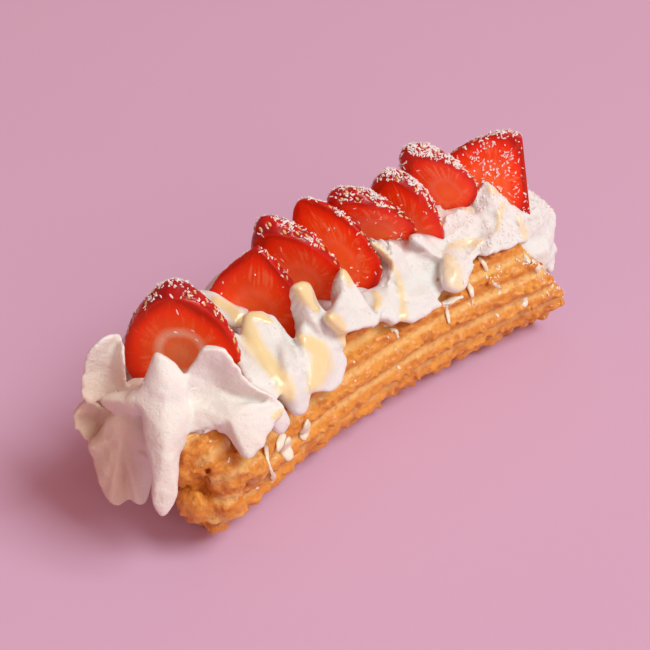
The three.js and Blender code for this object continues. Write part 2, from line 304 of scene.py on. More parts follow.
def add_mask(piece, name, values):
    """Stores one number for each vertex, which a finish reads by name."""
    layer = piece.data.attributes.new(name, "FLOAT", "POINT")
    layer.data.foreach_set("value", np.asarray(values, np.float32))


class Grid:
    """A box of points, filled with distances to a surface, that becomes a closed mesh."""

    def __init__(self, low, high, voxel):
        self.low = np.asarray(low, float)
        self.voxel = voxel
        self.counts = np.ceil((np.asarray(high, float) - self.low) / voxel).astype(int) + 1
        self.field = np.full(self.counts, FAR_AWAY, np.float32)

    def window(self, low, high):
        """The slices of the points between two corners."""
        first = np.clip(np.floor((low - self.low) / self.voxel).astype(int), 0, self.counts)
        last = np.clip(np.ceil((high - self.low) / self.voxel).astype(int) + 1, 0, self.counts)
        return tuple(slice(a, b) for a, b in zip(first, last))

    def points(self, window=None):
        window = window or tuple(slice(0, n) for n in self.counts)
        axes = [self.low[k] + self.voxel * np.arange(w.start, w.stop)
                for k, w in enumerate(window)]
        return np.stack(np.meshgrid(*axes, indexing="ij"), -1).astype(np.float32)

    def surface(self):
        """The vertices and quads where the field crosses zero."""
        reach = 3 * self.voxel
        padded = np.pad(np.clip(self.field, -reach, reach), 1, constant_values=reach)
        grid = openvdb.FloatGrid(reach)
        grid.copyFromArray(padded.astype(np.float32))
        vertices, quads = grid.convertToQuads(0)
        vertices = (np.asarray(vertices, float) - 1) * self.voxel + self.low
        quads = np.asarray(quads, np.int64)
        corners = vertices[quads[:, :3]]
        volume = np.einsum("ij,ij->", corners[:, 0], np.cross(corners[:, 1], corners[:, 2]))
        if volume < 0:
            quads = quads[:, ::-1]
        return keep_large(vertices, quads)


def keep_large(vertices, quads, share=0.02):
    """Drops the loose scraps of a mesh and keeps each body above a share of the largest."""
    label = np.arange(len(vertices))
    while True:
        lowest = label[quads].min(1)
        new = label.copy()
        for column in range(4):
            np.minimum.at(new, quads[:, column], lowest)
        new = new[new]
        if (new == label).all():
            break
        label = new
    bodies, counts = np.unique(label[quads[:, 0]], return_counts=True)
    kept = bodies[counts >= share * counts.max()]
    quads = quads[np.isin(label[quads[:, 0]], kept)]
    used, renamed = np.unique(quads, return_inverse=True)
    return vertices[used], renamed.reshape(quads.shape)


# Churro
CREST_SHARPNESS = 2.4


def ridge_groove(from_bottom):
    """0 on the narrow crests and 1 in the wide valleys, by degrees from the bottom."""
    return 1 - np.abs(np.sin(np.radians(from_bottom) * RIDGES / 2)) ** CREST_SHARPNESS


# Plump lumps of dough on the near end: picture spot, depth and radius
END_LUMPS = [
    [202, 444, 4, 8],
    [193, 444, 4.5, 7],
    [190, 437, 6, 6],
    [188, 436, 8.5, 5],
    [190, 463, 4, 6],
    [226, 474, 3.5, 6.5],
    [250, 468, -2.5, 5.5],
    [196, 500, 0, 5],
    [222, 502, -1, 5.5],
]
LUMP_BLEND = 2

# How softly the dough's faces meet: at the channel, the slit, the underside and the two ends
CHANNEL_ROUNDING = 2.5
SLIT_ROUNDING = 3.5
UNDERSIDE_ROUNDING = 0.6
NEAR_ROUNDING = 15
FAR_ROUNDING = 4

# What differs from the solid: grooves of this share of its depth, but deeper at the near end,
# a slit that is narrower by an angle, and ends that are longer, shorter or higher
GROOVE_SHARE = 0.75
NEAR_GROOVE = 1.2
SLIT_NARROWER = 12
NEAR_LONGER = 1.5
FAR_SHORTER = 1.5
FAR_TIP_LIFT = 2.5
# Where the grooves start, in degrees from the bottom, and where they get deeper
GROOVES_FROM = (18, 32)
NEAR_GROOVES_FROM = (68, 80)


def churro_field(points):
    """Rough distance to the churro's surface, negative inside the dough."""
    station, across, height = unplace(points)
    radius = np.hypot(across, height - AXIS_HEIGHT)
    from_bottom = np.degrees(np.arctan2(across, AXIS_HEIGHT - height))
    deepest = GROOVE_SHARE * GROOVE_DEPTH + NEAR_GROOVE * smoothstep(-station, *NEAR_GROOVES_FROM)
    depth = deepest * ridge_groove(from_bottom) * smoothstep(np.abs(from_bottom), *GROOVES_FROM)
    outside = radius - (CREST_RADIUS - depth)
    channel = CHANNEL_RADIUS - radius
    from_top = 180 - np.abs(from_bottom)
    slit = np.radians(SLIT_HALF_ANGLE - SLIT_NARROWER - from_top) * radius
    body = smooth_max(outside, channel, CHANNEL_ROUNDING)
    body = smooth_max(body, slit, SLIT_ROUNDING)
    body = smooth_max(body, -height, UNDERSIDE_ROUNDING)
    near = NEAR_END - NEAR_LONGER + NEAR_SLANT * across - station
    near = near / math.hypot(1, NEAR_SLANT)
    tip_height = FAR_TIP_HEIGHT + FAR_TIP_LIFT
    above = np.maximum(0, height - tip_height)
    below = np.maximum(0, tip_height - height)
    far = station - FAR_END + FAR_SHORTER + FAR_SLANT * above + FAR_UNDERCUT * below
    far = far / math.hypot(1, FAR_SLANT)
    body = smooth_max(body, near, NEAR_ROUNDING)
    body = smooth_max(body, far, FAR_ROUNDING)
    for middle, lump in zip(facing(END_LUMPS), END_LUMPS):
        distance = np.linalg.norm(points - middle, axis=-1) - lump[3]
        body = smooth_min(body, distance, LUMP_BLEND)
    return smooth_max(body, -height, UNDERSIDE_ROUNDING)


# The fried crust's roughness, as layers of noise by where they show most
CRUST_ALL_OVER = [(0.3, 4.5, 11, 2)]
CRUST_COARSE = [(1, 2.1, 21, 2)]
CRUST_FINE = [(1, 1.4, 25, 1)]
CRUST_LOW_DOWN = [(1.1, 3, 31, 2), (0.4, 1.7, 33, 1)]
CRUST_NEAR_END = [(1.1, 7, 35, 1), (0.85, 3.2, 36, 1), (0.4, 1.7, 37, 2)]
CRUST_BROAD = [(0.45, 14, 41, 1)]
CRUST_REACH = 3.5
# The rough near end starts over these stations, and the knobbly strip low down lies between
# these angles from the bottom
ROUGH_END = (64, 73)
STRIP_FROM = (18, 30)
STRIP_TO = (48, 66)


def crag(points):
    """How far the fried crust stands out: rough on the crests, knobbly low down and at the end."""
    station, across, height = unplace(points)
    from_bottom = np.degrees(np.arctan2(across, AXIS_HEIGHT - height))
    crest = 1 - ridge_groove(from_bottom)
    near = smoothstep(-station - NEAR_SLANT * across, *ROUGH_END)
    from_bottom = np.abs(from_bottom)
    low_down = smoothstep(from_bottom, *STRIP_FROM) * (1 - smoothstep(from_bottom, *STRIP_TO))
    value = mixed_noise(points, CRUST_ALL_OVER)
    value += (0.2 + 0.75 * crest) * (1 - 0.4 * near) * mixed_noise(points, CRUST_COARSE)
    value += (0.25 + 0.3 * crest) * mixed_noise(points, CRUST_FINE)
    value += low_down * mixed_noise(points, CRUST_LOW_DOWN)
    value += near * mixed_noise(points, CRUST_NEAR_END)
    value += mixed_noise(points, CRUST_BROAD)
    return value


def rough_churro_field(points, field):
    """Adds the crust's roughness to the churro's field where its surface is close."""
    close = np.abs(field) < CRUST_REACH
    field[close] += crag(points[close])
    return field


# Room in the grid round the solid's box: more at the near end, whose lumps stand out
CHURRO_MARGIN = 2
LUMP_MARGIN = 7
# The grooves are pale from this radius out, and none is in the channel
PALE_FROM = (17, 20)


def make_churro():
    low, high = (np.array(c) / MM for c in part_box("churro"))
    low = low - [LUMP_MARGIN, CHURRO_MARGIN, CHURRO_MARGIN]
    grid = Grid(low, high + CHURRO_MARGIN, CHURRO_VOXEL)
    points = grid.points()
    grid.field = rough_churro_field(points, churro_field(points).astype(np.float32))
    grid.field = np.maximum(grid.field, -points[..., 2])
    vertices, quads = grid.surface()
    piece = quad_mesh_object("churro_crust", vertices, quads)
    station, across, height = unplace(vertices)
    from_bottom = np.arctan2(across, AXIS_HEIGHT - height)
    groove = ridge_groove(np.degrees(from_bottom))
    radius = np.hypot(across, height - AXIS_HEIGHT)
    add_mask(piece, "groove", groove * smoothstep(radius, *PALE_FROM))
    add_mask(piece, "standing", np.clip(0.5 + 0.6 * crag(vertices), 0, 1))
    return piece


# Whipped cream: a core, nine piped lobes along its back, and petals at its front and ends
def curve_points(knots, count):
    """Points along a smooth curve through the knots, which may have any number of columns."""
    knots = np.asarray(knots, float)
    ends = with_ends(knots)
    lengths = np.linalg.norm(np.diff(knots[:, :3], axis=0), axis=1)
    stops = np.concatenate([[0], np.cumsum(lengths)])
    wanted = np.linspace(0, stops[-1], count)
    which = np.clip(np.searchsorted(stops, wanted, side="right") - 1, 0, len(knots) - 2)
    t = ((wanted - stops[which]) / lengths[which])[:, None]
    return curve_spot(*(ends[which + k] for k in range(4)), t)


SPINE_STEPS = 36
# The line in the cream that the lobes face away from: its height, and how short of the ends
HUB_HEIGHT = 32
HUB_INSET = 15


def lobe_frame(spine):
    """A lobe's middles along its spine of station, across and height, and the axes at each."""
    middles = curve_points(place(spine), SPINE_STEPS)
    tangents = unit(np.gradient(middles, axis=0))
    hub_x = np.clip(middles[:, 0], NEAR_END + HUB_INSET, FAR_END - HUB_INSET)
    hub = np.stack([hub_x, bow_at(hub_x), np.full_like(hub_x, HUB_HEIGHT)], -1)
    outward = middles - hub
    outward -= tangents * np.sum(outward * tangents, -1, keepdims=True)
    outward = unit(outward)
    return middles, tangents, outward, np.cross(tangents, outward)


# How far along a lobe its tip starts, and its two ribs, their depth and how round its section is
LOBE_BLUNT = 0.55
LOBE_RIBS = 2
LOBE_RIB_DEPTH = 0.25
LOBE_ROUNDNESS = 1.7
# How far a lobe's tip closes, and how slim its root is
LOBE_CLOSING = 0.985
LOBE_ROOT = 0.6


def lobe_field(points, lobe):
    """Distance to a lobe: flattened in section, slim at its root and drawn to a tip."""
    middles, tangents, outward, sideways = lobe_frame(lobe["spine"])
    flat = points.reshape(-1, 3)
    nearest = np.zeros(len(flat), np.int32)
    shortest = np.full(len(flat), np.inf, np.float32)
    for i, middle in enumerate(middles):
        distance = ((flat - middle) ** 2).sum(-1)
        closer = distance < shortest
        nearest[closer] = i
        shortest[closer] = distance[closer]
    step = np.linalg.norm(middles[-1] - middles[-2]) + 1e-6
    shift = ((flat - middles[nearest]) * tangents[nearest]).sum(-1) / step
    spot = np.clip(nearest + np.clip(shift, -0.5, 0.5), 0, SPINE_STEPS - 1)
    low = np.minimum(spot.astype(np.int32), SPINE_STEPS - 2)
    part = (spot - low)[:, None]

    def between(values):
        return values[low] * (1 - part) + values[low + 1] * part

    offset = flat - between(middles)
    u = (offset * between(sideways)).sum(-1)
    v = (offset * between(outward)).sum(-1)
    w = (offset * between(tangents)).sum(-1)
    along = spot / (SPINE_STEPS - 1)
    past = np.maximum(0, (along - LOBE_BLUNT) / (1 - LOBE_BLUNT)) * LOBE_CLOSING
    slim = LOBE_ROOT + (1 - LOBE_ROOT) * smoothstep(along, 0, 0.4)
    size = slim * np.sqrt(1 - past ** 2)
    wide = lobe["width"] / 2 * size
    turn = np.clip(u / wide, -1.2, 1.2)
    deep = lobe["thick"] / 2 * size
    deep = deep * (1 + LOBE_RIB_DEPTH * np.cos(turn * math.pi * LOBE_RIBS))
    beyond = np.abs(w) / np.maximum(deep, 0.8)
    ring = np.abs(u / wide) ** LOBE_ROUNDNESS + np.abs(v / deep) ** LOBE_ROUNDNESS
    ring = ring ** (1 / LOBE_ROUNDNESS)
    reach = np.sqrt(ring ** 2 + beyond ** 2)
    length = np.sqrt(u * u + v * v + w * w)
    distance = length * (1 - 1 / np.maximum(reach, 1e-3))
    return distance.reshape(points.shape[:-1])


# Petals of cream, each a sheet from its hub out to its rim. A rim point is a spot in the
# picture, how far across the churro it lies, and how far the fold towards it stands out. With
# by_depth, the third number is how far the point lies in front of FACING_FROM.
PETALS = [
    {"hub": [108, 372, 12], "bulge": -3, "thick": 2.5, "ragged": 0.3, "rim": [
        [82, 398, 17, 0], [83, 375, 17, 0], [88, 354, 16, 1], [97, 342, 14, 0.5],
        [110, 336, 13, 1], [120, 337, 12, 0], [124, 355, 8, 0], [126, 388, 7, 0],
        [116, 396, 10, 0], [98, 402, 14, 0]]},
    {"hub": [92, 422, 17], "bulge": -1.2, "thick": 5, "ragged": 0.3, "rim": [
        [88, 403, 16, 0], [80, 407, 19, 0.4], [74, 415, 20, 0], [74, 424, 20, 0.4],
        [77, 433, 19, 0], [90, 443, 16, 0], [106, 430, 14, 0], [106, 415, 14, 0],
        [98, 406, 14, 0]]},
    {"hub": [122, 430, 5], "bulge": 1.5, "thick": 5, "rim": [
        [108, 420, 8, 0], [96, 440, 12, 0], [89, 447, 14, 0.6], [92, 460, 14, -0.3],
        [99, 482, 12, 0.6], [103, 494, 11, 0.2], [110, 503, 9, 0.5], [118, 506, 8, 0.5],
        [125, 504, 7, 0], [130, 501, 7, -0.3], [135, 504, 6, 0.2], [141, 506, 5, 0.4],
        [147, 502, 4, 0], [152, 488, 2, -0.3],
        [153, 470, 0, 0], [150, 440, -2, 0], [142, 418, 0, 0], [125, 414, 4, 0]]},
    {"by_depth": True, "hub": [126, 401, 16.5], "bulge": 0.5, "thick": 4, "round": 1.5, "rim": [
        [99, 400, 12, 0], [112, 395, 13, 0], [127, 392, 14, 0], [138, 387, 16, 0],
        [150, 390, 19, 0], [153, 406, 19, 0], [143, 416, 15, 0], [125, 416, 11, 0],
        [109, 411, 10, 0]]},
    {"by_depth": True, "hub": [164, 386, 20.5], "bulge": 0.3, "thick": 6, "round": 2, "rim": [
        [148, 370, 19.5, 0], [152, 359, 20, 0], [157, 354, 20.5, 0], [164, 356, 20.5, 0],
        [172, 361, 20, 0], [179, 368, 19, 0], [185, 378, 18, 0], [187, 388, 17.5, 0],
        [187, 400, 17, 0], [186, 408, 16.5, 0], [165, 411, 20, 0], [143, 408, 18.5, 0],
        [139, 396, 18, 0], [141, 384, 18.5, 0]]},
    {"by_depth": True, "hub": [166, 438, 20], "bulge": 1, "thick": 5, "blend": 0.7,
     "round": 1.8, "rim": [
        [142, 404, 18.5, 0], [144, 424, 18.5, 0], [147, 446, 18.5, 0], [151, 468, 18, 0],
        [153, 487, 17, 0], [153, 503, 15.5, 0], [157, 512, 14, 0], [163, 517, 13, 0],
        [171, 510, 13, 0], [177, 498, 13.5, 0], [178, 482, 14, 0], [180, 462, 14, 0],
        [186, 444, 14, 0], [190, 424, 14.5, 0], [188, 404, 16.5, 0], [165, 402, 20, 0]]},
    {"by_depth": True, "hub": [214, 386, 12.5], "bulge": 0, "thick": 6, "blend": 1.4,
     "ragged": 0.8, "round": 1.4, "rim": [
        [184, 381, 16.5, 0], [190, 372, 16.5, 0], [196, 360, 18, 0.4], [203, 350, 20, 0.4],
        [212, 347, 20.5, 0.6], [222, 350, 19.5, 0.8], [233, 359, 18, 1], [244, 372, 16, 1],
        [254, 384, 14, 1], [268, 394, 11.5, 0.8], [277, 400, 9.5, 0.6], [283, 409, 8, 0],
        [276, 416, 9, 0], [262, 416, 12, 0], [240, 412, 13.5, 0], [215, 412, 13.5, 0],
        [187, 414, 13, 0]]},
    {"by_depth": True, "hub": [230, 420, 15.5], "bulge": 0.5, "thick": 8, "blend": 1.4,
     "ragged": 0.6, "round": 1.4, "rim": [
        [186, 408, 13.5, 0], [210, 404, 13.5, 0], [238, 404, 14, 0], [262, 402, 12, 0],
        [277, 408, 9.5, 0.3], [272, 426, 10.5, 0.5], [264, 444, 12, 0.8], [254, 457, 13, 0.8],
        [248, 460, 13.5, 0.8], [241, 456, 13, 0.5], [231, 442, 12.5, 0], [218, 432, 12, 0],
        [207, 429, 12, 0], [198, 431, 12, 0], [191, 436, 12, 0], [183, 446, 12, 0],
        [178, 430, 13, 0]]},
    {"by_depth": True, "hub": [186, 488, 7.5], "bulge": 0.5, "thick": 3, "rim": [
        [174, 478, 8, 0], [184, 479, 8, 0], [196, 483, 8, 0], [203, 488, 8, 0.3],
        [196, 494, 7, 0], [184, 502, 6, 0], [176, 494, 6, 0]]},
    {"hub": [262, 372, -17], "bulge": 1, "thick": 5, "ragged": 0.3, "rim": [
        [234, 333, -6, 0], [242, 338, -7, 0], [256, 352, -13, 0], [272, 370, -19, 0.5],
        [282, 380, -22, 0.5], [281, 392, -24, 0], [275, 400, -25, 0], [262, 394, -22, 0],
        [250, 380, -18, 0], [238, 362, -12, 0], [236, 350, -9, 0]]},
    {"hub": [281, 419, -26.5], "bulge": 1, "thick": 3, "rim": [
        [275, 400, -25, 0], [283, 408, -26, 0.3], [289, 415, -26, 0], [290, 423, -27, 0.3],
        [287, 430, -27, 0], [282, 435, -27, 0.3], [277, 432, -27, 0], [273, 423, -27, 0],
        [272, 412, -26, 0]]},
    {"hub": [284, 362, -18], "bulge": 1.5, "thick": 5, "ragged": 0.6, "rim": [
        [247, 316, -5, 0], [256, 310, -5, 0.5], [272, 315, -8, 0.5], [283, 327, -11, 0],
        [296, 341, -15, 0.6], [302, 352, -18, 0], [306, 368, -21, 0.5], [309, 390, -24, 0.3],
        [306, 410, -26, 1.2], [300, 415, -26, 0.6], [294, 411, -26, 0], [288, 400, -25, -0.5],
        [281, 388, -23, -0.5], [272, 368, -19, -0.8], [260, 350, -14, -0.8],
        [250, 332, -9, -0.5]]},
    {"hub": [325, 350, -20.5], "bulge": 1, "thick": 7, "ragged": 0.15, "round": 1.3, "rim": [
        [301, 283, -13, 0.5], [309, 286, -13, 0.3], [317, 298, -14, 0], [326, 313, -16, 0.3],
        [335, 325, -18, 0.3], [343, 333, -20, 0], [345, 343, -21, 0.3], [344, 352, -21.5, 0],
        [347, 360, -22, 0.3], [346, 372, -24, 0], [341, 384, -25, 0.3], [334, 391, -26, 0],
        [323, 391, -26, 0], [312, 387, -25, 0], [307, 370, -23, -0.3], [304, 352, -20, -0.3],
        [302, 338, -18, 0], [304, 322, -15.5, 0], [301, 306, -14.5, 0], [296, 297, -13.5, 0],
        [294, 288, -13, 0.3]]},
    {"hub": [297, 374, -24], "bulge": 1.2, "thick": 3, "rim": [
        [283, 340, -15, 0], [289, 338, -16, 1], [297, 350, -20, 0], [303, 370, -23, 0],
        [308, 392, -26, 0], [306, 411, -27, 0.8], [299, 414, -27, 0], [294, 395, -26, 0],
        [288, 370, -23, 0], [282, 352, -18, 0]]},
    {"hub": [352, 310, -18], "bulge": 0.8, "thick": 6, "rim": [
        [343, 269, -11, 0], [350, 281, -13, 0.8], [360, 296, -16, 1.2], [368, 310, -19, 1.2],
        [378, 323, -21, 1], [366, 327, -23, 0], [351, 331, -24, 0], [341, 327, -23, 0],
        [331, 316, -22, 0], [336, 307, -19, -0.3], [343, 292, -15, -0.3], [341, 280, -13, 0]]},
    {"hub": [385, 300, -17], "bulge": 1.5, "thick": 5, "ragged": 0.5, "rim": [
        [362, 293, -12, 0], [375, 287, -11, 0.5], [390, 282, -12, 0.5], [400, 290, -15, 0],
        [402, 305, -19, 0.4], [402, 318, -22, 0], [396, 322, -23, 0.5], [388, 316, -22, -0.8],
        [381, 315, -21, -0.5], [376, 322, -22, 0.4], [369, 311, -18, 0]]},
    {"hub": [392, 265, -12], "bulge": 1, "thick": 5, "ragged": 0.5, "rim": [
        [370, 242, -9, 0], [380, 240, -9, 0.5], [392, 242, -10, 0], [398, 246, -10, 0.4],
        [404, 253, -11, 0], [408, 262, -12, 0], [412, 280, -14, 0.5], [398, 281, -13, 0.8],
        [386, 286, -13, 0.8], [376, 291, -12, 0.5], [379, 275, -9, 0], [379, 262, -7, 0],
        [376, 252, -5, 0]]},
    {"hub": [424, 278, -15], "bulge": -0.6, "thick": 6, "rim": [
        [402, 259, -8, 0], [412, 255, -8, 0.3], [419, 260, -9, 0], [430, 261, -11, 0],
        [437, 263, -12, 0.5], [443, 272, -15, 0.5], [445, 282, -17, 0.6], [442, 293, -20, 0.5],
        [438, 300, -21, 0.5], [430, 298, -21, 0.8], [417, 299, -20, 0.8], [407, 298, -19, 0.5],
        [401, 284, -15, 0]]},
    {"hub": [424, 308, -21.5], "bulge": 1, "thick": 4, "ragged": 0.8, "rim": [
        [406, 299, -19, 0], [420, 299, -20, 0.5], [438, 299, -21, 0], [443, 305, -22, 0.5],
        [434, 311, -23, 0], [425, 316, -23.5, 0.5], [416, 321, -24, 0], [409, 322, -24, 0.5],
        [404, 316, -23, 0], [404, 306, -21, 0]]},
    {"hub": [428, 250, -12], "bulge": 1.2, "thick": 5, "ragged": 0.4, "rim": [
        [410, 238, -9, 0], [420, 234, -9, 1], [427, 238, -10, 0.3], [435, 246, -11, 0.5],
        [441, 252, -12, 0], [446, 260, -14, 0.5], [442, 268, -13, 0], [432, 262, -12, 0],
        [418, 258, -10, 0], [410, 254, -8, 0], [409, 246, -6, 0]]},
    {"hub": [460, 265, -18], "bulge": 2, "thick": 7, "rim": [
        [444, 250, -12, 0], [455, 244, -11, 0.5], [468, 243, -12, 0], [480, 243, -13, 0.5],
        [481, 250, -15, 0], [477, 257, -17, 0.5], [476, 264, -18, 0], [474, 272, -20, 0.8],
        [471, 281, -22, 0.3], [466, 288, -24, 0.5], [457, 291, -24, 0.4], [449, 287, -23, 0],
        [444, 277, -20, 0], [443, 262, -16, 0]]},
    {"hub": [464, 228, -9], "bulge": -2, "thick": 5, "ragged": 0.3, "rim": [
        [447, 213, -4, 0], [456, 208, -4, 0.5], [468, 210, -5, 0.3], [477, 217, -7, 0.5],
        [481, 230, -10, 0.5], [480, 243, -13, 0.5], [466, 243, -12, 0.3], [450, 244, -11, 0],
        [446, 232, -8, 0]]},
    {"hub": [498, 222, -11], "bulge": 1.5, "thick": 8, "ragged": 0.4, "rim": [
        [474, 195, -3, 0], [485, 180, -2, 0.5], [497, 182, -2, 0], [508, 188, -3, 0.4],
        [513, 200, -5, 0], [512, 215, -9, -0.5], [516, 230, -13, 0], [518, 243, -17, 0.5],
        [505, 250, -19, 0], [490, 254, -19, 0.4], [482, 252, -17, 0], [480, 235, -12, 0],
        [477, 215, -7, 0]]},
    {"hub": [517, 225, -12], "bulge": -0.5, "thick": 6, "rim": [
        [506, 205, -6, 0], [513, 203, -5, 0.5], [520, 212, -7, 0.3], [527, 225, -10, 0.5],
        [530, 238, -14, 0.5], [524, 243, -16, 0.3], [515, 243, -16, 0], [509, 232, -14, 0],
        [506, 220, -11, 0]]},
    {"hub": [540, 235, -3], "bulge": 2.5, "thick": 8, "rim": [
        [524, 216, 2, 0], [528, 197, 4, 0.3], [536, 198, 4, 0.3], [543, 210, 2, 1],
        [547, 218, 1, 0], [552, 228, -1, 1], [554, 237, -3, 0], [557, 252, -5, 1],
        [554, 273, -8, 0.5], [545, 268, -8, 0], [537, 260, -7, 0], [527, 248, -6, 0],
        [525, 232, -2, 0]]},
]
RIM_THICKNESS = 1.4
RIM_STEPS = 12
RIM_ROUNDING = 0.9
SHEET_ROUNDING = 0.8
RAGGED_SIZE = 2.6


def petal_shape(petal):
    """The hub, the plane of a petal, and its rim in polar form on that plane."""
    by_depth = petal.get("by_depth", False)
    knots = np.asarray(petal["rim"], float)
    hub = facing([petal["hub"]])[0] if by_depth else seen(petal["hub"])
    rim = facing(knots[:, :3]) if by_depth else seen(knots[:, :3])
    axes = np.linalg.svd(rim - rim.mean(0))[2]
    normal = axes[2] * math.copysign(1, axes[2] @ CAMERA_BACK)
    first = axes[0]
    second = np.cross(normal, first)
    table = np.column_stack([(rim - hub) @ first, (rim - hub) @ second,
                             (rim - hub) @ normal, knots[:, 3]])
    count = len(table)
    dense = []
    for k in range(count):
        a, b, c, d = (table[(k + j) % count] for j in range(-1, 3))
        for t in np.linspace(0, 1, RIM_STEPS, endpoint=False):
            spot = curve_spot(a, b, c, d, t)
            spot[3] = b[3] + (c[3] - b[3]) * t
            dense.append(spot)
    dense = np.array(dense)
    turns = np.arctan2(dense[:, 1], dense[:, 0])
    order = np.argsort(turns)
    return hub, (first, second, normal), rim, turns[order], dense[order]


def petal_field(points, petal, voxel, seed):
    """Distance to a petal: a folded sheet that thins from its hub to its rim."""
    hub, (first, second, normal), _, turns, dense = petal_shape(petal)
    offset = points - hub
    a, b, out = offset @ first, offset @ second, offset @ normal
    turn = np.arctan2(b, a)
    reach = np.interp(turn, turns, np.hypot(dense[:, 0], dense[:, 1]), period=2 * math.pi)
    rim_out = np.interp(turn, turns, dense[:, 2], period=2 * math.pi)
    fold = np.interp(turn, turns, dense[:, 3], period=2 * math.pi)
    ragged = petal.get("ragged", 0)
    if ragged:
        edge = np.stack([reach * np.cos(turn), reach * np.sin(turn), 0 * reach], -1)
        reach = reach + ragged * layered_noise(edge, RAGGED_SIZE, seed, 2)
    share = np.hypot(a, b) / reach
    held = np.minimum(share, 1.2)
    front = held ** petal.get("round", 1) * rim_out + petal["bulge"] * (1 - held ** 2)
    front = front + fold * np.minimum(1, 1.5 * held)
    depth = RIM_THICKNESS + petal["thick"] * np.clip(1 - held ** 2, 0, 1) ** 0.7
    field = smooth_max(out - front, front - depth - out, SHEET_ROUNDING)
    field = smooth_max(field, (share - 1) * reach, RIM_ROUNDING)
    slope = np.sqrt(sum(g * g for g in np.gradient(field, voxel)))
    return field / np.maximum(slope, 0.7)


FAR_LOBES = 9
FAR_LOBE_FIRST = -64
FAR_LOBE_SPACING = 17


def uneven(index, seed, spread):
    """A number within the spread that differs from lobe to lobe but stays the same each time."""
    wave = math.sin(index * 12.9898 + seed * 78.233) * 43758.5453
    return (wave - math.floor(wave) - 0.5) * 2 * spread


def far_lobe(index):
    """One piped lobe of the row along the back, from the top down over the side."""
    station = FAR_LOBE_FIRST + FAR_LOBE_SPACING * index + uneven(index, 1, 3)
    lean = 5 + uneven(index, 2, 3)
    drop = uneven(index, 3, 3)
    return {
        "spine": [
            [station, 3, 49],
            [station - lean, 13, 50],
            [station - lean * 1.5, 21, 43],
            [station - lean * 1.8, 25, 34 + drop],
        ],
        "width": 15 + uneven(index, 4, 2.5),
        "thick": 8,
    }


# The core: its ends, the height of its middle, and its size up, down and sideways
CORE_NEAR = -78
CORE_FAR = 80
CORE_HEIGHT = 33
CORE_UP = 17
CORE_DOWN = 23
CORE_SIDE = 18
CORE_ROUNDNESS = 2.6
# How far its top is set back at the near end, how much lower it is between the first berries,
# and how much narrower it is above its middle
CORE_SET_BACK = 7
CORE_SUNK = 6.5
CORE_NARROWER = 3.5


def core_field(points):
    station, across, height = unplace(points)
    station = station - CORE_SET_BACK * smoothstep(height, 34, 42) * smoothstep(-station, 50, 70)
    along = np.clip((station - CORE_NEAR) / (CORE_FAR - CORE_NEAR), 0, 1)
    ends = np.minimum(1, np.sqrt(np.sin(math.pi * (0.03 + 0.94 * along)) * 4))
    up = height - CORE_HEIGHT
    sunk = smoothstep(station, -57, -44) * (1 - smoothstep(station, -8, 10))
    tall = np.where(up > 0, CORE_UP - CORE_SUNK * sunk, CORE_DOWN) * ends
    side = (CORE_SIDE - CORE_NARROWER * smoothstep(height, 33, 38)) * ends
    norm = np.abs(across / side) ** CORE_ROUNDNESS + np.abs(up / tall) ** CORE_ROUNDNESS
    norm = norm ** (1 / CORE_ROUNDNESS)
    over = np.maximum(0, np.maximum(CORE_NEAR - station, station - CORE_FAR))
    length = np.hypot(across, up)
    return length * (1 - 1 / np.maximum(norm, 1e-3)) + over


# What fills the near end behind its petals: middle and radii of soft balls
NEAR_BALLS = [
    ([-84, 8, 36], [7, 12, 9]),
    ([-84, 4, 42], [7, 8, 7]),
    ([-82, 10, 28], [8, 9, 14]),
    ([-84, -1, 34], [6, 6, 12]),
]
BALL_BLEND = 3
NEAR_BLEND = 2


def balls_field(points):
    field = np.full(points.shape[:-1], FAR_AWAY, np.float32)
    for middle, radii in NEAR_BALLS:
        offset = (points - place(middle)) / radii
        size = np.sqrt((offset ** 2).sum(-1))
        field = smooth_min(field, (size - 1) * min(radii), BALL_BLEND)
    return field


CREAM_BLEND = 1.1
CREAM_MARGIN = 2.5
PETAL_SEED = 400
CREAM_REACH = 3

# Where the cream gets fluffier and dented, and where its fan of folds at the far end starts
FLUFFY_FROM = (0, 40)
FOLDS_FROM = (58, 70)
FOLD_DEPTH = 1.2
DENT_DEPTH = 1.2
FAN_HEIGHT = 34
FAN_FOLDS = 6


def cream_relief(points):
    """How far the cream's surface lies back: fluff, a fan of folds at the far end, and dents."""
    station, across, height = unplace(points)
    fluffy = smoothstep(station, *FLUFFY_FROM)
    fan = np.arctan2(across, height - FAN_HEIGHT)
    folds = smoothstep(station, *FOLDS_FROM) * smoothstep(across, 0, 7)
    folds = folds * np.cos(FAN_FOLDS * fan + 0.3 * station)
    return (0.3 * layered_noise(points, 5, 51)
            + (0.12 + 0.22 * fluffy) * noise(points, 1.6, 61)
            + FOLD_DEPTH * folds
            + DENT_DEPTH * fluffy * np.abs(layered_noise(points, 7, 71, 2)))


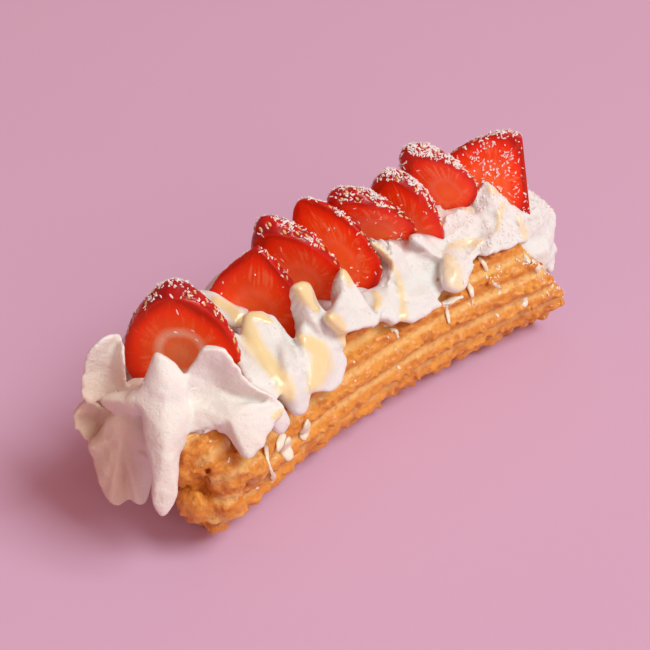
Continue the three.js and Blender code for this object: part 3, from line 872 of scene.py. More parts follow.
def make_cream_grid():
    low, high = (np.array(c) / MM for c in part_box("cream"))
    grid = Grid(low - CREAM_MARGIN, high + CREAM_MARGIN, CREAM_VOXEL)
    points = grid.points()
    grid.field = np.minimum(grid.field, core_field(points)).astype(np.float32)
    grid.field = smooth_min(grid.field, balls_field(points), NEAR_BLEND)
    for index in range(FAR_LOBES):
        lobe = far_lobe(index)
        middles = lobe_frame(lobe["spine"])[0]
        margin = max(lobe["width"], lobe["thick"]) / 2 + 3
        window = grid.window(middles.min(0) - margin, middles.max(0) + margin)
        distance = lobe_field(grid.points(window), lobe)
        grid.field[window] = smooth_min(grid.field[window], distance, CREAM_BLEND)
    for number, petal in enumerate(PETALS):
        rim = petal_shape(petal)[2]
        margin = petal["thick"] + 4
        window = grid.window(rim.min(0) - margin, rim.max(0) + margin)
        distance = petal_field(grid.points(window), petal, grid.voxel, PETAL_SEED + number)
        blend = petal.get("blend", CREAM_BLEND)
        grid.field[window] = smooth_min(grid.field[window], distance, blend)
    close = np.abs(grid.field) < CREAM_REACH
    grid.field[close] += cream_relief(points[close])
    return grid, points


# Painted shade: over these heights and stations the star's lower part is painted darker and warmer,
# most on its left side in the picture. Painted light: the star's cream is painted lighter than the
# cream beyond it, which starts over the last stations
PAINTED_SHADE_HEIGHTS = (34, 66)
PAINTED_SHADE_STATIONS = (68, 80)
PAINTED_SHADE_LEFT = (125, 150)
PAINTED_DIMMER_FROM = (-72, -52)


def make_cream(grid):
    vertices, quads = grid.surface()
    piece = quad_mesh_object("piped_cream", vertices, quads)
    station, _, height = unplace(vertices)
    left = picture_spots(vertices)[0]
    # Painted shade: darker, warmer paint on the star's lower part, strongest on its left side in
    # the picture
    painted_shade = (1 - smoothstep(height, *PAINTED_SHADE_HEIGHTS)) * smoothstep(-station, *PAINTED_SHADE_STATIONS)
    painted_shade = painted_shade * (1 - 0.75 * smoothstep(left, *PAINTED_SHADE_LEFT))
    add_mask(piece, "painted_shade", painted_shade)
    add_mask(piece, "sauce", sauce_share(vertices))
    # Painted light: this mask is 1 on the cream beyond the star, which is painted a little darker
    # so that the star's cream reads lighter
    add_mask(piece, "painted_dimmer", smoothstep(station, *PAINTED_DIMMER_FROM))
    return piece


# How near the cream's surface its neighbours are cut out, and how far they overlap with it
CLOSE_TO_CUT = 4
DOUGH_OVERLAP = 1.2
BERRY_OVERLAP = 0.8


def cut_neighbours(field, points):
    """Takes the dough and the berries out of a grid's field, but for a thin overlap."""
    close = np.abs(field) < CLOSE_TO_CUT
    spots = points[close]
    dough = rough_churro_field(spots, churro_field(spots))
    value = np.maximum(field[close], -dough - DOUGH_OVERLAP)
    for berry in BERRIES:
        value = np.maximum(value, -berry_field(spots, berry) - BERRY_OVERLAP)
    field[close] = value


# Strawberry halves, about as in their solids. facing, lean and roll are degrees, taper is how
# pointed the tip is, turn and nod tilt the cut face sideways and at the tip, ring is how
# strong the pale ring round the core is, and core_at is where along the half the core lies.
BERRIES = [
    {"at": [-71.3, 1, 54.9], "facing": -55, "lean": 5, "roll": 3, "width": 32, "length": 39,
     "taper": 0.72, "turn": -8, "nod": 0.24, "ring": 1, "core_at": 0.42},
    {"at": [-40.6, 1, 53.5], "facing": -52, "lean": 8, "roll": -4, "width": 30, "length": 33,
     "taper": 1.1, "turn": 12, "nod": 0.06, "core_at": 0.3},
    {"at": [-24.5, 1, 56], "facing": -42, "lean": 5, "roll": 28, "width": 24, "length": 37,
     "taper": 0.7, "turn": 20, "nod": 0.26, "core_at": 0.3},
    {"at": [-8, 1, 55], "facing": -50, "lean": 12, "roll": 33, "width": 22, "length": 35,
     "taper": 0.6, "turn": 10, "nod": 0.02, "core_at": 0.3},
    {"at": [6.95, 0, 57.5], "facing": -35, "lean": -8, "roll": 40, "width": 20, "length": 36,
     "taper": 0.6, "turn": 22, "nod": 0.2, "core_at": 0.3},
    {"at": [20.8, 0, 54.5], "facing": -42, "lean": -4, "roll": 15, "width": 24, "length": 37,
     "taper": 0.7, "turn": 22, "nod": 0.15, "core_at": 0.3},
    {"at": [36, 0, 62], "facing": -35, "lean": -4, "roll": 38, "width": 18, "length": 34,
     "taper": 0.5, "turn": 18, "nod": 0.2, "core_at": 0.25},
    {"at": [51, 0, 55], "facing": -45, "lean": 6, "roll": 100, "width": 33, "length": 36,
     "taper": 0.8, "turn": 4, "nod": 0.02, "core_at": 0.3, "shoulder": 0.16, "calyx": 0.86},
]
BERRY_DEPTH = 0.37
# How strongly the pale ring round the core shows, but for the first berry's
FAINT_RING = 0.12
# Where a berry is widest, and how wide its calyx end is
SHOULDER = 0.3
CALYX = 0.39


def berry_width(along, berry):
    """How wide a berry is at a share of its length, from 0 to 1."""
    shoulder = berry.get("shoulder", SHOULDER)
    inset = 1 - berry.get("calyx", CALYX) ** 2
    low = np.sqrt(np.clip(1 - (1 - along / shoulder) ** 2 * inset, 0, 1))
    high = np.clip(1 - ((along - shoulder) / (1 - shoulder)) ** 2, 0, 1) ** berry["taper"]
    return np.where(along < shoulder, low, high)


def berry_axes(berry):
    facing, lean, roll = (math.radians(berry[k]) for k in ("facing", "lean", "roll"))
    upward = np.array([0, 0, 1.0])
    flat_front = np.array([math.sin(facing), -math.cos(facing), 0])
    front = flat_front * math.cos(lean) + upward * math.sin(lean)
    rise = unit(upward - front * front[2])
    right = np.cross(rise, front)
    tipward = rise * math.cos(roll) - right * math.sin(roll)
    return place(berry["at"]), front, tipward, np.cross(tipward, front)


def cut_height(berry, along, across):
    """How far in front of the middle the cut face lies: it turns sideways and nods at the tip."""
    slope = 2 * BERRY_DEPTH * math.tan(math.radians(berry["turn"]))
    return slope * across + berry["nod"] * (along - 0.45) * berry["length"]


def berry_field(points, berry):
    centre, front, tipward, sideways = berry_axes(berry)
    offset = points - centre
    forward = offset @ front
    across = offset @ sideways
    along = (offset @ tipward) / berry["length"] + 0.5
    half = berry["width"] / 2 * berry_width(np.clip(along, 0, 1), berry)
    deep = half * 2 * BERRY_DEPTH
    norm = np.hypot(across / np.maximum(half, 0.5), forward / np.maximum(deep, 0.5))
    round_gap = np.hypot(across, forward) * (1 - 1 / np.maximum(norm, 1e-3))
    end_gap = np.maximum(-along, along - 1) * berry["length"]
    cut_gap = forward - cut_height(berry, along, across)
    return np.maximum(np.maximum(round_gap, cut_gap), end_gap)


BERRY_RINGS = 96
SECTION_POINTS = 132
OVAL_POINTS = 720
CORNER_PASSES = 3
CALYX_RINGS = 8


def berry_section(half, deep, slope, lift, count):
    """A closed oval cut off along a sloping line, with soft corners and evenly spaced points."""
    turn = np.linspace(0, 2 * math.pi, OVAL_POINTS, endpoint=False)
    oval = np.stack([half * np.cos(turn), -deep * np.sin(turn)], -1)
    over = oval[:, 1] - (lift + slope * oval[:, 0])
    if over.min() > 0:
        over = over - over.min() - 0.02
    start = int(np.argmax(over))
    oval, over = np.roll(oval, -start, 0), np.roll(over, -start)
    kept = oval[over <= 0]
    outline = np.vstack([kept, kept[:1]]) if over.max() > 0 else np.vstack([oval, oval[:1]])
    stops = np.concatenate([[0], np.cumsum(np.linalg.norm(np.diff(outline, axis=0), axis=1))])
    wanted = np.linspace(0, stops[-1], count, endpoint=False)
    even = np.stack([np.interp(wanted, stops, outline[:, k]) for k in range(2)], -1)
    for _ in range(CORNER_PASSES):
        even = (np.roll(even, 1, 0) + 2 * even + np.roll(even, -1, 0)) / 4
    return even


# The gap between rows of seeds, how uneven they are along and around, and how far they stay
# from the cut face
SEED_GAP = 2.8
ROW_SHIFT = 0.15
TURN_SHIFT = 0.12
FACE_GAP = 0.8
# The length round a berry for each millimetre of its half width
GIRTH = 5.2


def berry_seeds(berry, rng):
    """Seed places on the skin, as along and the angle around from the right-hand side."""
    seeds = []
    rows = int(berry["length"] / SEED_GAP)
    for row in range(1, rows):
        along = (row + ROW_SHIFT * rng.uniform(-1, 1)) / rows
        half = berry["width"] / 2 * float(berry_width(np.array(along), berry))
        around = int(max(3, half * GIRTH / SEED_GAP))
        for k in range(around):
            place_in_row = k + 0.5 * (row % 2) + TURN_SHIFT * rng.uniform(-1, 1)
            angle = 2 * math.pi * place_in_row / around
            across, forward = half * math.cos(angle), -half * 2 * BERRY_DEPTH * math.sin(angle)
            if forward < cut_height(berry, along, across) - FACE_GAP:
                seeds.append((along, angle, half))
    return seeds


CALYX_DEPTH = 1.5
THINNEST = 0.05


def berry_rings(berry):
    """The rings of a half from its calyx to its tip: where along it, its half width, and points."""
    turns = np.linspace(0, 1, BERRY_RINGS)
    alongs = (1 - np.cos(math.pi * turns)) / 2
    alongs = np.concatenate([np.zeros(CALYX_RINGS), alongs[:-1], [0.9995]])
    shrink = np.concatenate([np.linspace(0.02, 0.98, CALYX_RINGS), np.ones(BERRY_RINGS)])
    halves = berry["width"] / 2 * berry_width(alongs, berry) * shrink
    halves = np.maximum(halves, THINNEST)
    calyx_drop = CALYX_DEPTH * (1 - shrink ** 2)
    slope = 2 * BERRY_DEPTH * math.tan(math.radians(berry["turn"]))
    sections = np.stack([
        berry_section(half, half * 2 * BERRY_DEPTH, slope,
                      cut_height(berry, along, 0), SECTION_POINTS)
        for along, half in zip(alongs, halves)
    ])
    lengthwise = (alongs - 0.5) * berry["length"] + calyx_drop
    return alongs, halves, lengthwise, sections


FACE_ROUNDNESS = 2.6


def face_pattern(berry, alongs, halves, across, seed):
    """On the cut face, how far out from the core, from 0 to 1, and how strong its streaks are."""
    deep = halves * 2 * BERRY_DEPTH
    raised = np.clip(cut_height(berry, alongs, 0) / np.maximum(deep, 0.2), -0.98, 1)
    leaving = alongs[(raised >= 0.98) & (alongs > 0.5)]
    face_end = leaving.min() if len(leaving) else 1
    from_core = alongs - berry["core_at"]
    lengthwise = np.where(from_core > 0, from_core / (face_end - berry["core_at"]),
                          from_core / berry["core_at"])[:, None]
    sideways = across / np.sqrt(np.maximum(1 - raised ** 2, 0.04))[:, None]
    radius = np.abs(sideways) ** FACE_ROUNDNESS + np.abs(lengthwise) ** FACE_ROUNDNESS
    radius = radius ** (1 / FACE_ROUNDNESS)
    angle = np.arctan2(lengthwise, sideways)
    spokes = np.stack([np.cos(angle) * 8, np.sin(angle) * 8, radius * 1.5], -1)
    streak = 0.5 + 0.5 * layered_noise(spokes, 0.42, seed, 3)
    middle, edge = smoothstep(radius, 0.3, 0.6), smoothstep(radius, 0.65, 0.9)
    return radius, streak * (0.7 + 0.35 * middle - 0.4 * edge)


# The pit round each seed and the raised ring about it: depth, distance and width
PIT = 0.55
PIT_WIDTH = 0.95
PIT_RING = 0.18
PIT_RING_AT = 1.7
PIT_RING_WIDTH = 0.6


def pit_seeds(berry, vertices, rng):
    """The relief of a skin with its seed pits, and each seed's spot and outward direction."""
    centre, front, tipward, sideways = berry_axes(berry)
    relief = np.zeros(vertices.shape[:2])
    seeds = []
    for along, turn, half in berry_seeds(berry, rng):
        spot = (centre + half * math.cos(turn) * sideways
                - half * 2 * BERRY_DEPTH * math.sin(turn) * front
                + (along - 0.5) * berry["length"] * tipward)
        out = unit(math.cos(turn) * sideways
                   - math.sin(turn) / (2 * BERRY_DEPTH) * front + 0.25 * tipward)
        seeds.append((spot, out))
        distance = np.linalg.norm(vertices - spot, axis=-1)
        relief -= PIT * np.exp(-(distance / PIT_WIDTH) ** 2)
        relief += PIT_RING * np.exp(-((distance - PIT_RING_AT) / PIT_RING_WIDTH) ** 2)
    return relief, seeds


# How uneven the skin is, and the face's hollow, streaks and unevenness
SKIN_BUMPS = 0.3
FACE_HOLLOW = 0.4
FACE_STREAKS = 0.12
FACE_BUMPS = 0.2


def make_berry(index, berry):
    """One half, with the masks of its finish, and its seeds."""
    rng = np.random.default_rng(700 + index)
    centre, front, tipward, sideways = berry_axes(berry)
    alongs, halves, lengthwise, sections = berry_rings(berry)
    vertices = (centre
                + sections[..., :1] * sideways
                + sections[..., 1:] * front
                + lengthwise[:, None, None] * tipward)
    rings, count = sections.shape[:2]
    numbers = np.arange(rings * count).reshape(rings, count)
    beside = np.roll(numbers, -1, 1)
    quads = np.stack([numbers[:-1], beside[:-1], beside[1:], numbers[1:]], -1).reshape(-1, 4)
    across = sections[..., 0]
    forward = sections[..., 1]
    deep = halves[:, None] * 2 * BERRY_DEPTH
    cut = smoothstep(forward - cut_height(berry, alongs[:, None], across), -0.7, -0.2)
    across = across / halves[:, None]
    radius, streak = face_pattern(berry, alongs, halves, across, 800 + index)
    normal = unit(across[..., None] * sideways
                  + (forward / np.maximum(deep, 0.2) * halves[:, None]
                     / np.maximum(deep, 0.2))[..., None] * front)
    relief, seeds = pit_seeds(berry, vertices, rng)
    relief *= 1 - cut
    bumpy = layered_noise(vertices, 4.5, 900 + index, 2)
    vertices = vertices + (relief + SKIN_BUMPS * bumpy * (1 - cut))[..., None] * normal
    face_relief = (-FACE_HOLLOW * (1 - np.clip(radius, 0, 1) ** 2)
                   + FACE_STREAKS * (streak - 0.5) + FACE_BUMPS * bumpy)
    vertices = vertices + (face_relief * cut)[..., None] * front
    faces = quads.tolist() + [numbers[0].tolist()[::-1], numbers[-1].tolist()]
    piece = mesh_object(f"berry_half_{index + 1}", vertices.reshape(-1, 3), faces)
    add_mask(piece, "cut", cut.ravel())
    add_mask(piece, "from_core", radius.ravel())
    add_mask(piece, "streak", streak.ravel())
    add_mask(piece, "ring", np.full(radius.size, berry.get("ring", FAINT_RING)))
    return piece, seeds, tipward


SEED_ROWS = 4
SEED_SIDES = 6
SEED_SUNK = 0.22
SEED_HEIGHT = 0.36


def make_seeds(seed_rows):
    """All the seeds as one mesh of small drops, each lying along its berry."""
    rng = np.random.default_rng(77)
    vertices, faces = [], []
    for spots, tipward in seed_rows:
        for spot, out in spots:
            along = unit(tipward - out * (tipward @ out))
            side = np.cross(out, along)
            long, wide = rng.uniform(0.75, 0.95), rng.uniform(0.42, 0.55)
            base = len(vertices)
            for row in range(SEED_ROWS + 1):
                turn = math.pi * (0.06 + 0.88 * row / SEED_ROWS)
                for step in range(SEED_SIDES):
                    around = 2 * math.pi * step / SEED_SIDES
                    vertices.append(
                        spot - SEED_SUNK * out - along * long * math.cos(turn)
                        + math.sin(turn) * (side * wide * math.cos(around)
                                            + out * SEED_HEIGHT * math.sin(around)))
            faces += tube_faces(base, SEED_ROWS + 1, SEED_SIDES)
    return mesh_object("berry_seeds", vertices, faces)


# Sauce on the cream, as a swelling of its surface with a finish of its own. Its strands and
# pools go by picture spot, distance across and width.
STRANDS = [
    [[216, 300, 6, 2.5], [228, 308, 3, 3.4], [243, 322, -4, 5.2], [251, 337, -10, 6],
     [261, 353, -15, 5.6], [275, 371, -20, 5.4], [286, 386, -23, 5.6], [289, 396, -25, 4]],
    [[250, 314, -5, 1.6], [262, 317, -6, 2.4], [272, 322, -8, 1.6]],
    [[299, 283, -13, 4], [303, 288, -13, 6.5], [308, 296, -14, 5.5], [316, 308, -15, 2.4]],
    [[300, 338, -17, 2.4], [312, 345, -19, 5], [320, 355, -21, 6.6], [321, 367, -23, 7],
     [317, 379, -25, 6], [312, 388, -25, 3.4]],
    [[328, 316, -17, 1.6], [335, 322, -18, 4.4], [341, 332, -20, 4], [345, 344, -21, 1.6]],
    [[343, 271, -11, 1.6], [347, 278, -12, 2.6], [352, 287, -14, 1.4]],
    [[364, 246, -9, 2.6], [378, 248, -10, 2.6], [390, 262, -12, 2.4], [398, 277, -14, 2.6],
     [401, 291, -16, 2.8], [403, 306, -20, 3], [404, 318, -22, 2.4]],
    [[374, 292, -13, 1.4], [378, 298, -15, 3], [376, 306, -17, 2.2]],
    [[448, 257, -14, 3], [452, 268, -17, 6.5], [455, 278, -20, 6.5], [460, 286, -22, 3.6]],
    [[448, 247, -12, 1.6], [460, 244, -12, 3.4], [472, 243, -13, 3.6], [481, 242, -14, 2]],
    [[449, 205, -4, 1.6], [464, 206, -5, 2.6], [472, 212, -6, 1.6]],
    [[489, 190, -3, 1.8], [497, 190, -4, 3], [502, 193, -5, 1.8]],
    [[503, 205, -6, 2.4], [500, 215, -9, 2], [498, 230, -13, 1.2]],
    [[519, 218, -10, 1.8], [523, 228, -12, 3], [526, 237, -15, 2.4]],
    [[281, 411, -25, 1], [275, 417, -26, 2.2]],
]
SAUCE_DEPTH = 0.7
SAUCE_REACH = 9
SAUCE_STEPS = 9
# The sauce's edge: how ragged it is, where it starts and where it is at its full depth
SAUCE_RAGGED = 0.45
SAUCE_EDGE = -0.3
SAUCE_FULL = 0.6
# Smoothing passes of the cream under it, and how much thinner it is beyond these stations
SAUCE_SMOOTHING = 3
SAUCE_THINNER = 0.3
SAUCE_THINS = (-10, 10)


def sauce_share(points):
    """How thick the sauce is at a point: 1 along a strand's middle, 0 beyond its soft edge."""
    left, down, scale = picture_spots(points)
    ragged = SAUCE_RAGGED * layered_noise(points, 3.5, 61, 2)
    share = np.zeros(points.shape[:-1], np.float32)
    for strand in STRANDS:
        ends = with_ends(np.array(strand, float))
        for a, b, c, d in zip(ends, ends[1:], ends[2:], ends[3:]):
            for t in np.linspace(0, 1, SAUCE_STEPS):
                spot = curve_spot(a, b, c, d, t)
                beside = np.hypot(left - spot[0], down - spot[1]) / scale + ragged
                inward = 1 - 2 * beside / spot[3]
                near = inward > SAUCE_EDGE
                here = seen(spot[:3])
                near[near] = np.linalg.norm(points[near] - here, axis=-1) < SAUCE_REACH
                covered = smoothstep(inward[near], SAUCE_EDGE, SAUCE_FULL)
                share[near] = np.maximum(share[near], covered)
    return share * (1 - SAUCE_THINNER * smoothstep(unplace(points)[0], *SAUCE_THINS))


def soften(field, passes):
    """A field averaged with its neighbours along each axis."""
    for _ in range(passes):
        for axis in range(3):
            field = (np.roll(field, 1, axis) + 2 * field + np.roll(field, -1, axis)) / 4
    return field


def pour_sauce(grid, points):
    """Smooths and swells the cream's surface under the sauce."""
    smooth = soften(grid.field, SAUCE_SMOOTHING)
    close = np.abs(smooth) < CREAM_REACH
    share = sauce_share(points[close])
    rough = grid.field[close]
    grid.field[close] = rough + (smooth[close] - rough) * share - SAUCE_DEPTH * share


# Drops and drips on the dough, each a path of picture spots with its width there
DROPS = [
    [[305, 424, 3.6], [304, 430, 4.4], [303, 435, 3.8]],
    [[286, 441, 3], [284, 447, 4.2], [287, 454, 4.4]],
    [[266, 447, 1.2], [267, 458, 1.3], [270, 468, 1.5], [274, 479, 1.8]],
    [[283, 436, 2], [280, 442, 2.6], [278, 448, 2]],
    [[391, 329, 1], [396, 331, 1.5], [398, 337, 1.3]],
    [[388, 337, 0.9], [392, 340, 1.2]],
    [[441, 304, 1.8], [448, 302, 2.4], [455, 299, 1.4], [462, 297, 1.2]],
    [[447, 303, 2], [447, 312, 1.6], [449, 322, 1]],
    [[469, 285, 1.6], [471, 291, 2], [472, 295, 1.4]],
    [[480, 259, 1.4], [484, 264, 1.8], [487, 271, 1.3]],
    [[487, 278, 1.2], [494, 283, 1.8], [499, 288, 1.6], [499, 294, 1.2]],
    [[524, 297, 2], [525, 302, 2.4], [523, 306, 1.6]],
    [[525, 256, 1.8], [528, 261, 2.2]],
    [[533, 262, 2], [537, 267, 2.8], [539, 272, 1.8]],
    [[398, 367, 0.9], [400, 369, 0.9]],
    [[471, 343, 0.8], [473, 344, 0.9]],
    [[496, 314, 0.8], [498, 316, 1]],
    [[352, 360, 0.7], [354, 362, 0.8]],
]
DROP_STEPS = 10
DROP_SIDES = 12
DROP_HEIGHT = 0.5
DROP_UNEVEN = 0.35
# How far past its path a drop reaches, as a share of its width, and how wide it is there
DROP_TIP = [(0.36, 0.7), (0.46, 0.3)]


def make_drops():
    vertices, faces = [], []
    for drop in DROPS:
        knots = np.array(drop, float)
        spots = touch(knots[:, :2], churro_field)
        path = curve_points(np.column_stack([spots, knots[:, 2]]), DROP_STEPS)
        middles = path[:, :3]
        widths = path[:, 3] * (1 + DROP_UNEVEN * noise(middles, 1.6, 91))
        normals = outward(middles, churro_field)
        forwards = unit(np.gradient(middles, axis=0))
        sideways = unit(np.cross(normals, forwards))
        rings = [(0, -past, share) for past, share in DROP_TIP[::-1]]
        rings += [(i, 0, 1) for i in range(DROP_STEPS)]
        rings += [(DROP_STEPS - 1, past, share) for past, share in DROP_TIP]
        base = len(vertices)
        for i, past, share in rings:
            radius = widths[i] / 2 * share
            middle = middles[i] + forwards[i] * past * widths[i]
            for side in range(DROP_SIDES):
                turn = 2 * math.pi * side / DROP_SIDES
                vertices.append(middle + sideways[i] * radius * math.cos(turn)
                                + normals[i] * radius * DROP_HEIGHT * (0.2 + math.sin(turn)))
        faces += tube_faces(base, len(rings), DROP_SIDES)
    return mesh_object("sauce_drops", vertices, faces)


# Coconut flakes: how many lie on each berry, on the cream and on the dough
BERRY_FLAKES = [170, 60, 160, 170, 450, 600, 640, 1300]
CREAM_FLAKES = 1300
DOUGH_FLAKES = 420
FLAKE_STEPS = 3
# How much flakes tilt and how high they lie, on the cream and elsewhere
CREAM_FLAKE_LIE = (0.4, 0.1)
OTHER_FLAKE_LIE = (0.5, 0.2)
FLAKE_WIDTHS = (0.35, 0.65)
SHORTEST_FLAKE = 0.6
FLAKE_TOP = 0.14
FLAKE_UNDERSIDE = 0.06
LANDING_JITTER = 0.3
# How large a clump of flakes is in the picture, squared, and how dense flakes are elsewhere
CLUMP_SIZE = 40
SPARSE = 0.015
# Clumps of flakes on the dough, by picture spot and weight
FLAKE_CLUMPS = [
    [492, 283, 1], [498, 277, 0.8], [525, 262, 0.8], [470, 300, 0.3], [548, 283, 0.4],
    [556, 292, 0.4], [392, 335, 0.7], [405, 365, 0.3], [448, 305, 0.5], [540, 270, 0.5],
    [212, 437, 0.3], [222, 465, 0.3],
]


def landing_spots(piece, count, weigh, rng):
    """Random spots on a piece with their normals, denser where the weight is higher."""
    mesh = piece.data
    total = len(mesh.polygons)
    centres, normals, areas = (np.empty(total * n, np.float32) for n in (3, 3, 1))
    mesh.polygons.foreach_get("center", centres)
    mesh.polygons.foreach_get("normal", normals)
    mesh.polygons.foreach_get("area", areas)
    centres = centres.reshape(-1, 3) / MM
    normals = normals.reshape(-1, 3)
    weight = areas * weigh(centres, normals)
    picks = rng.choice(total, count, p=weight / weight.sum())
    jitter = rng.uniform(-LANDING_JITTER, LANDING_JITTER, (count, 3))
    return centres[picks] + jitter * (1 - np.abs(normals[picks])), normals[picks]


def upward_share(normals):
    return np.clip(normals[:, 2] + 0.35, 0, 1) ** 1.5


def weigh_cream(centres, normals):
    station = unplace(centres)[0]
    far = smoothstep(station, 8, 62)
    return upward_share(normals) * (SPARSE + far) * smoothstep(centres[:, 2], 34, 42)


def weigh_dough(centres, normals):
    station = unplace(centres)[0]
    left, down, _ = picture_spots(centres)
    clumped = sum(much * np.exp(-np.hypot(left - u, down - v) ** 2 / CLUMP_SIZE)
                  for u, v, much in FLAKE_CLUMPS)
    return upward_share(normals) * (SPARSE + 0.8 * smoothstep(station, 60, 78) + 2.5 * clumped)


def weigh_berry(number):
    """The weight for one berry: the last two hold more flakes on their faces."""
    def weigh(centres, normals):
        crown = smoothstep(centres[:, 2], 58, 70)
        clumps = 0.15 + smoothstep(layered_noise(centres, 4, 500 + number, 2), -0.4, 0.6)
        if number == len(BERRIES) - 1:
            return (upward_share(normals) * 0.4 + 0.25) * clumps
        if number == len(BERRIES) - 2:
            return upward_share(normals) * (0.25 + crown) * clumps
        return (np.clip(normals[:, 2], 0, 1) ** 2 * (0.15 + crown) + 0.012) * clumps
    return weigh


def make_flakes(landings):
    """All the flakes as one mesh of thin slivers, each a little curved and tilted."""
    rng = np.random.default_rng(31)
    vertices, faces = [], []
    for number, (spots, normals) in enumerate(landings):
        tilt, lift = CREAM_FLAKE_LIE if number == 0 else OTHER_FLAKE_LIE
        for spot, normal in zip(spots, normals):
            lying = unit(normal + tilt * rng.normal(size=3))
            along = unit(np.cross(lying, rng.normal(size=3)))
            side = np.cross(lying, along)
            length = SHORTEST_FLAKE + rng.random() ** 2
            width = rng.uniform(*FLAKE_WIDTHS)
            bend = rng.uniform(-0.5, 0.5)
            base = len(vertices)
            for step in range(FLAKE_STEPS):
                t = step / (FLAKE_STEPS - 1) - 0.5
                middle = (spot + normal * lift + along * length * t
                          + (side + lying) * bend * length * (t * t - 0.08))
                half = width / 2 * (1 - 1.6 * t * t)
                vertices += [middle - side * half, middle + lying * FLAKE_TOP,
                             middle + side * half, middle - lying * FLAKE_UNDERSIDE]
            faces += tube_faces(base, FLAKE_STEPS, 4)
    return mesh_object("coconut_flakes", vertices, faces, smooth=False)


# Finishes
class Wire:
    """A shader value that takes part in plain Python maths."""

    def __init__(self, finish, socket):
        self.finish = finish
        self.socket = socket

    def maths(self, operation, *others):
        return self.finish.node("ShaderNodeMath", {"operation": operation},
                                dict(enumerate(others)))

    def __add__(self, other):
        return self.maths("ADD", self, other)

    def __sub__(self, other):
        return self.maths("SUBTRACT", self, other)

    def __rsub__(self, other):
        return self.maths("SUBTRACT", other, self)

    def __mul__(self, other):
        return self.maths("MULTIPLY", self, other)

    __radd__ = __add__
    __rmul__ = __mul__


class Finish:
    """A material of shader nodes, made from its name and the values of its surface."""

    def __init__(self, name):
        self.material = bpy.data.materials.new(name)
        self.material.use_nodes = True
        self.tree = self.material.node_tree
        self.tree.nodes.clear()

    def node(self, kind, settings=None, inputs=None, output=0):
        """Adds a shader node and gives one of its outputs."""
        node = self.tree.nodes.new(kind)
        for name, value in (settings or {}).items():
            if name == "stops":
                ramp = node.color_ramp
                for i, (position, colour) in enumerate(value):
                    stop = ramp.elements[i] if i < 2 else ramp.elements.new(position)
                    stop.position = position
                    stop.color = (*colour, 1)
            else:
                setattr(node, name, value)
        for name, value in (inputs or {}).items():
            socket = node.inputs[name]
            if isinstance(value, Wire):
                self.tree.links.new(value.socket, socket)
            elif socket.type == "RGBA":
                socket.default_value = (*value, 1)
            else:
                socket.default_value = value
        return Wire(self, node.outputs[output])

    def mask(self, name):
        """The numbers that add_mask stored."""
        return self.node("ShaderNodeAttribute", {"attribute_name": name}, output="Fac")

    def noise(self, size, detail=3, roughness=0.5, stretch=(1, 1, 1)):
        """Noise over a size in millimetres, from 0 to 1."""
        spot = self.node("ShaderNodeTexCoord", output="Object")
        spot = self.node("ShaderNodeVectorMath", {"operation": "MULTIPLY"},
                         {0: spot, 1: stretch})
        return self.node("ShaderNodeTexNoise", {}, {
            "Vector": spot, "Scale": 1 / (size * MM), "Detail": detail, "Roughness": roughness,
        })

    def ramp(self, value, stops):
        return self.node("ShaderNodeValToRGB", {"stops": stops}, {"Fac": value})

    def blend(self, share, first, second):
        """A mix of two colours."""
        return self.node("ShaderNodeMix", {"data_type": "RGBA"},
                         {0: share, 6: first, 7: second}, output=2)

    def between(self, value, low, high):
        """0 below low, 1 above high."""
        return self.node("ShaderNodeMapRange", {"interpolation_type": "SMOOTHSTEP"}, {
            "Value": value, "From Min": low, "From Max": high,
        })

    def surface(self, bump=None, bump_depth=0.1, **values):
        """The last step: the shader with its values, and a bump in millimetres."""
        inputs = {name.replace("_", " "): value for name, value in values.items()}
        if bump is not None:
            inputs["Normal"] = self.node("ShaderNodeBump", {}, {
                "Height": bump, "Distance": bump_depth * MM, "Strength": 1.0,
            })
        shader = self.node("ShaderNodeBsdfPrincipled", {}, inputs)
        out = self.tree.nodes.new("ShaderNodeOutputMaterial")
        self.tree.links.new(shader.socket, out.inputs["Surface"])
        return self.material


def crust_finish():
    finish = Finish("fried_crust")
    mottle = finish.noise(7, 4, 0.6, (0.6, 1, 1))
    fine = finish.noise(1.1, 5, 0.7)
    grain = fine * 0.55 + finish.noise(2.6, 2) * 0.45
    groove = finish.mask("groove")
    standing = finish.mask("standing")
    golden = finish.blend(finish.between(mottle, 0.35, 0.68), (0.8, 0.32, 0.034),
                          (0.69, 0.215, 0.016))
    pale = finish.blend(finish.between(groove + (mottle - 0.5) * 0.7, 0.5, 1.0), golden,
                        (0.83, 0.47, 0.14))
    browned = finish.blend(finish.between(standing, 0.5, 1.0) * 0.5, pale, (0.56, 0.145, 0.009))
    darkened = finish.blend(finish.between(finish.noise(1.7, 3), 0.52, 0.68) * 0.4, browned,
                            (0.52, 0.13, 0.01))
    speckled = finish.blend(finish.between(fine, 0.54, 0.7) * 0.55, darkened, (0.88, 0.52, 0.17))
    return finish.surface(
        bump=grain, bump_depth=1.0,
        Base_Color=speckled,
        Roughness=0.34 + finish.noise(3, 2) * 0.25,
        Coat_Weight=0.25,
        Coat_Roughness=0.15,
        Subsurface_Weight=0.15,
        Subsurface_Radius=(1.0, 0.4, 0.15),
        Subsurface_Scale=0.0015,
        Specular_IOR_Level=0.5,
    )


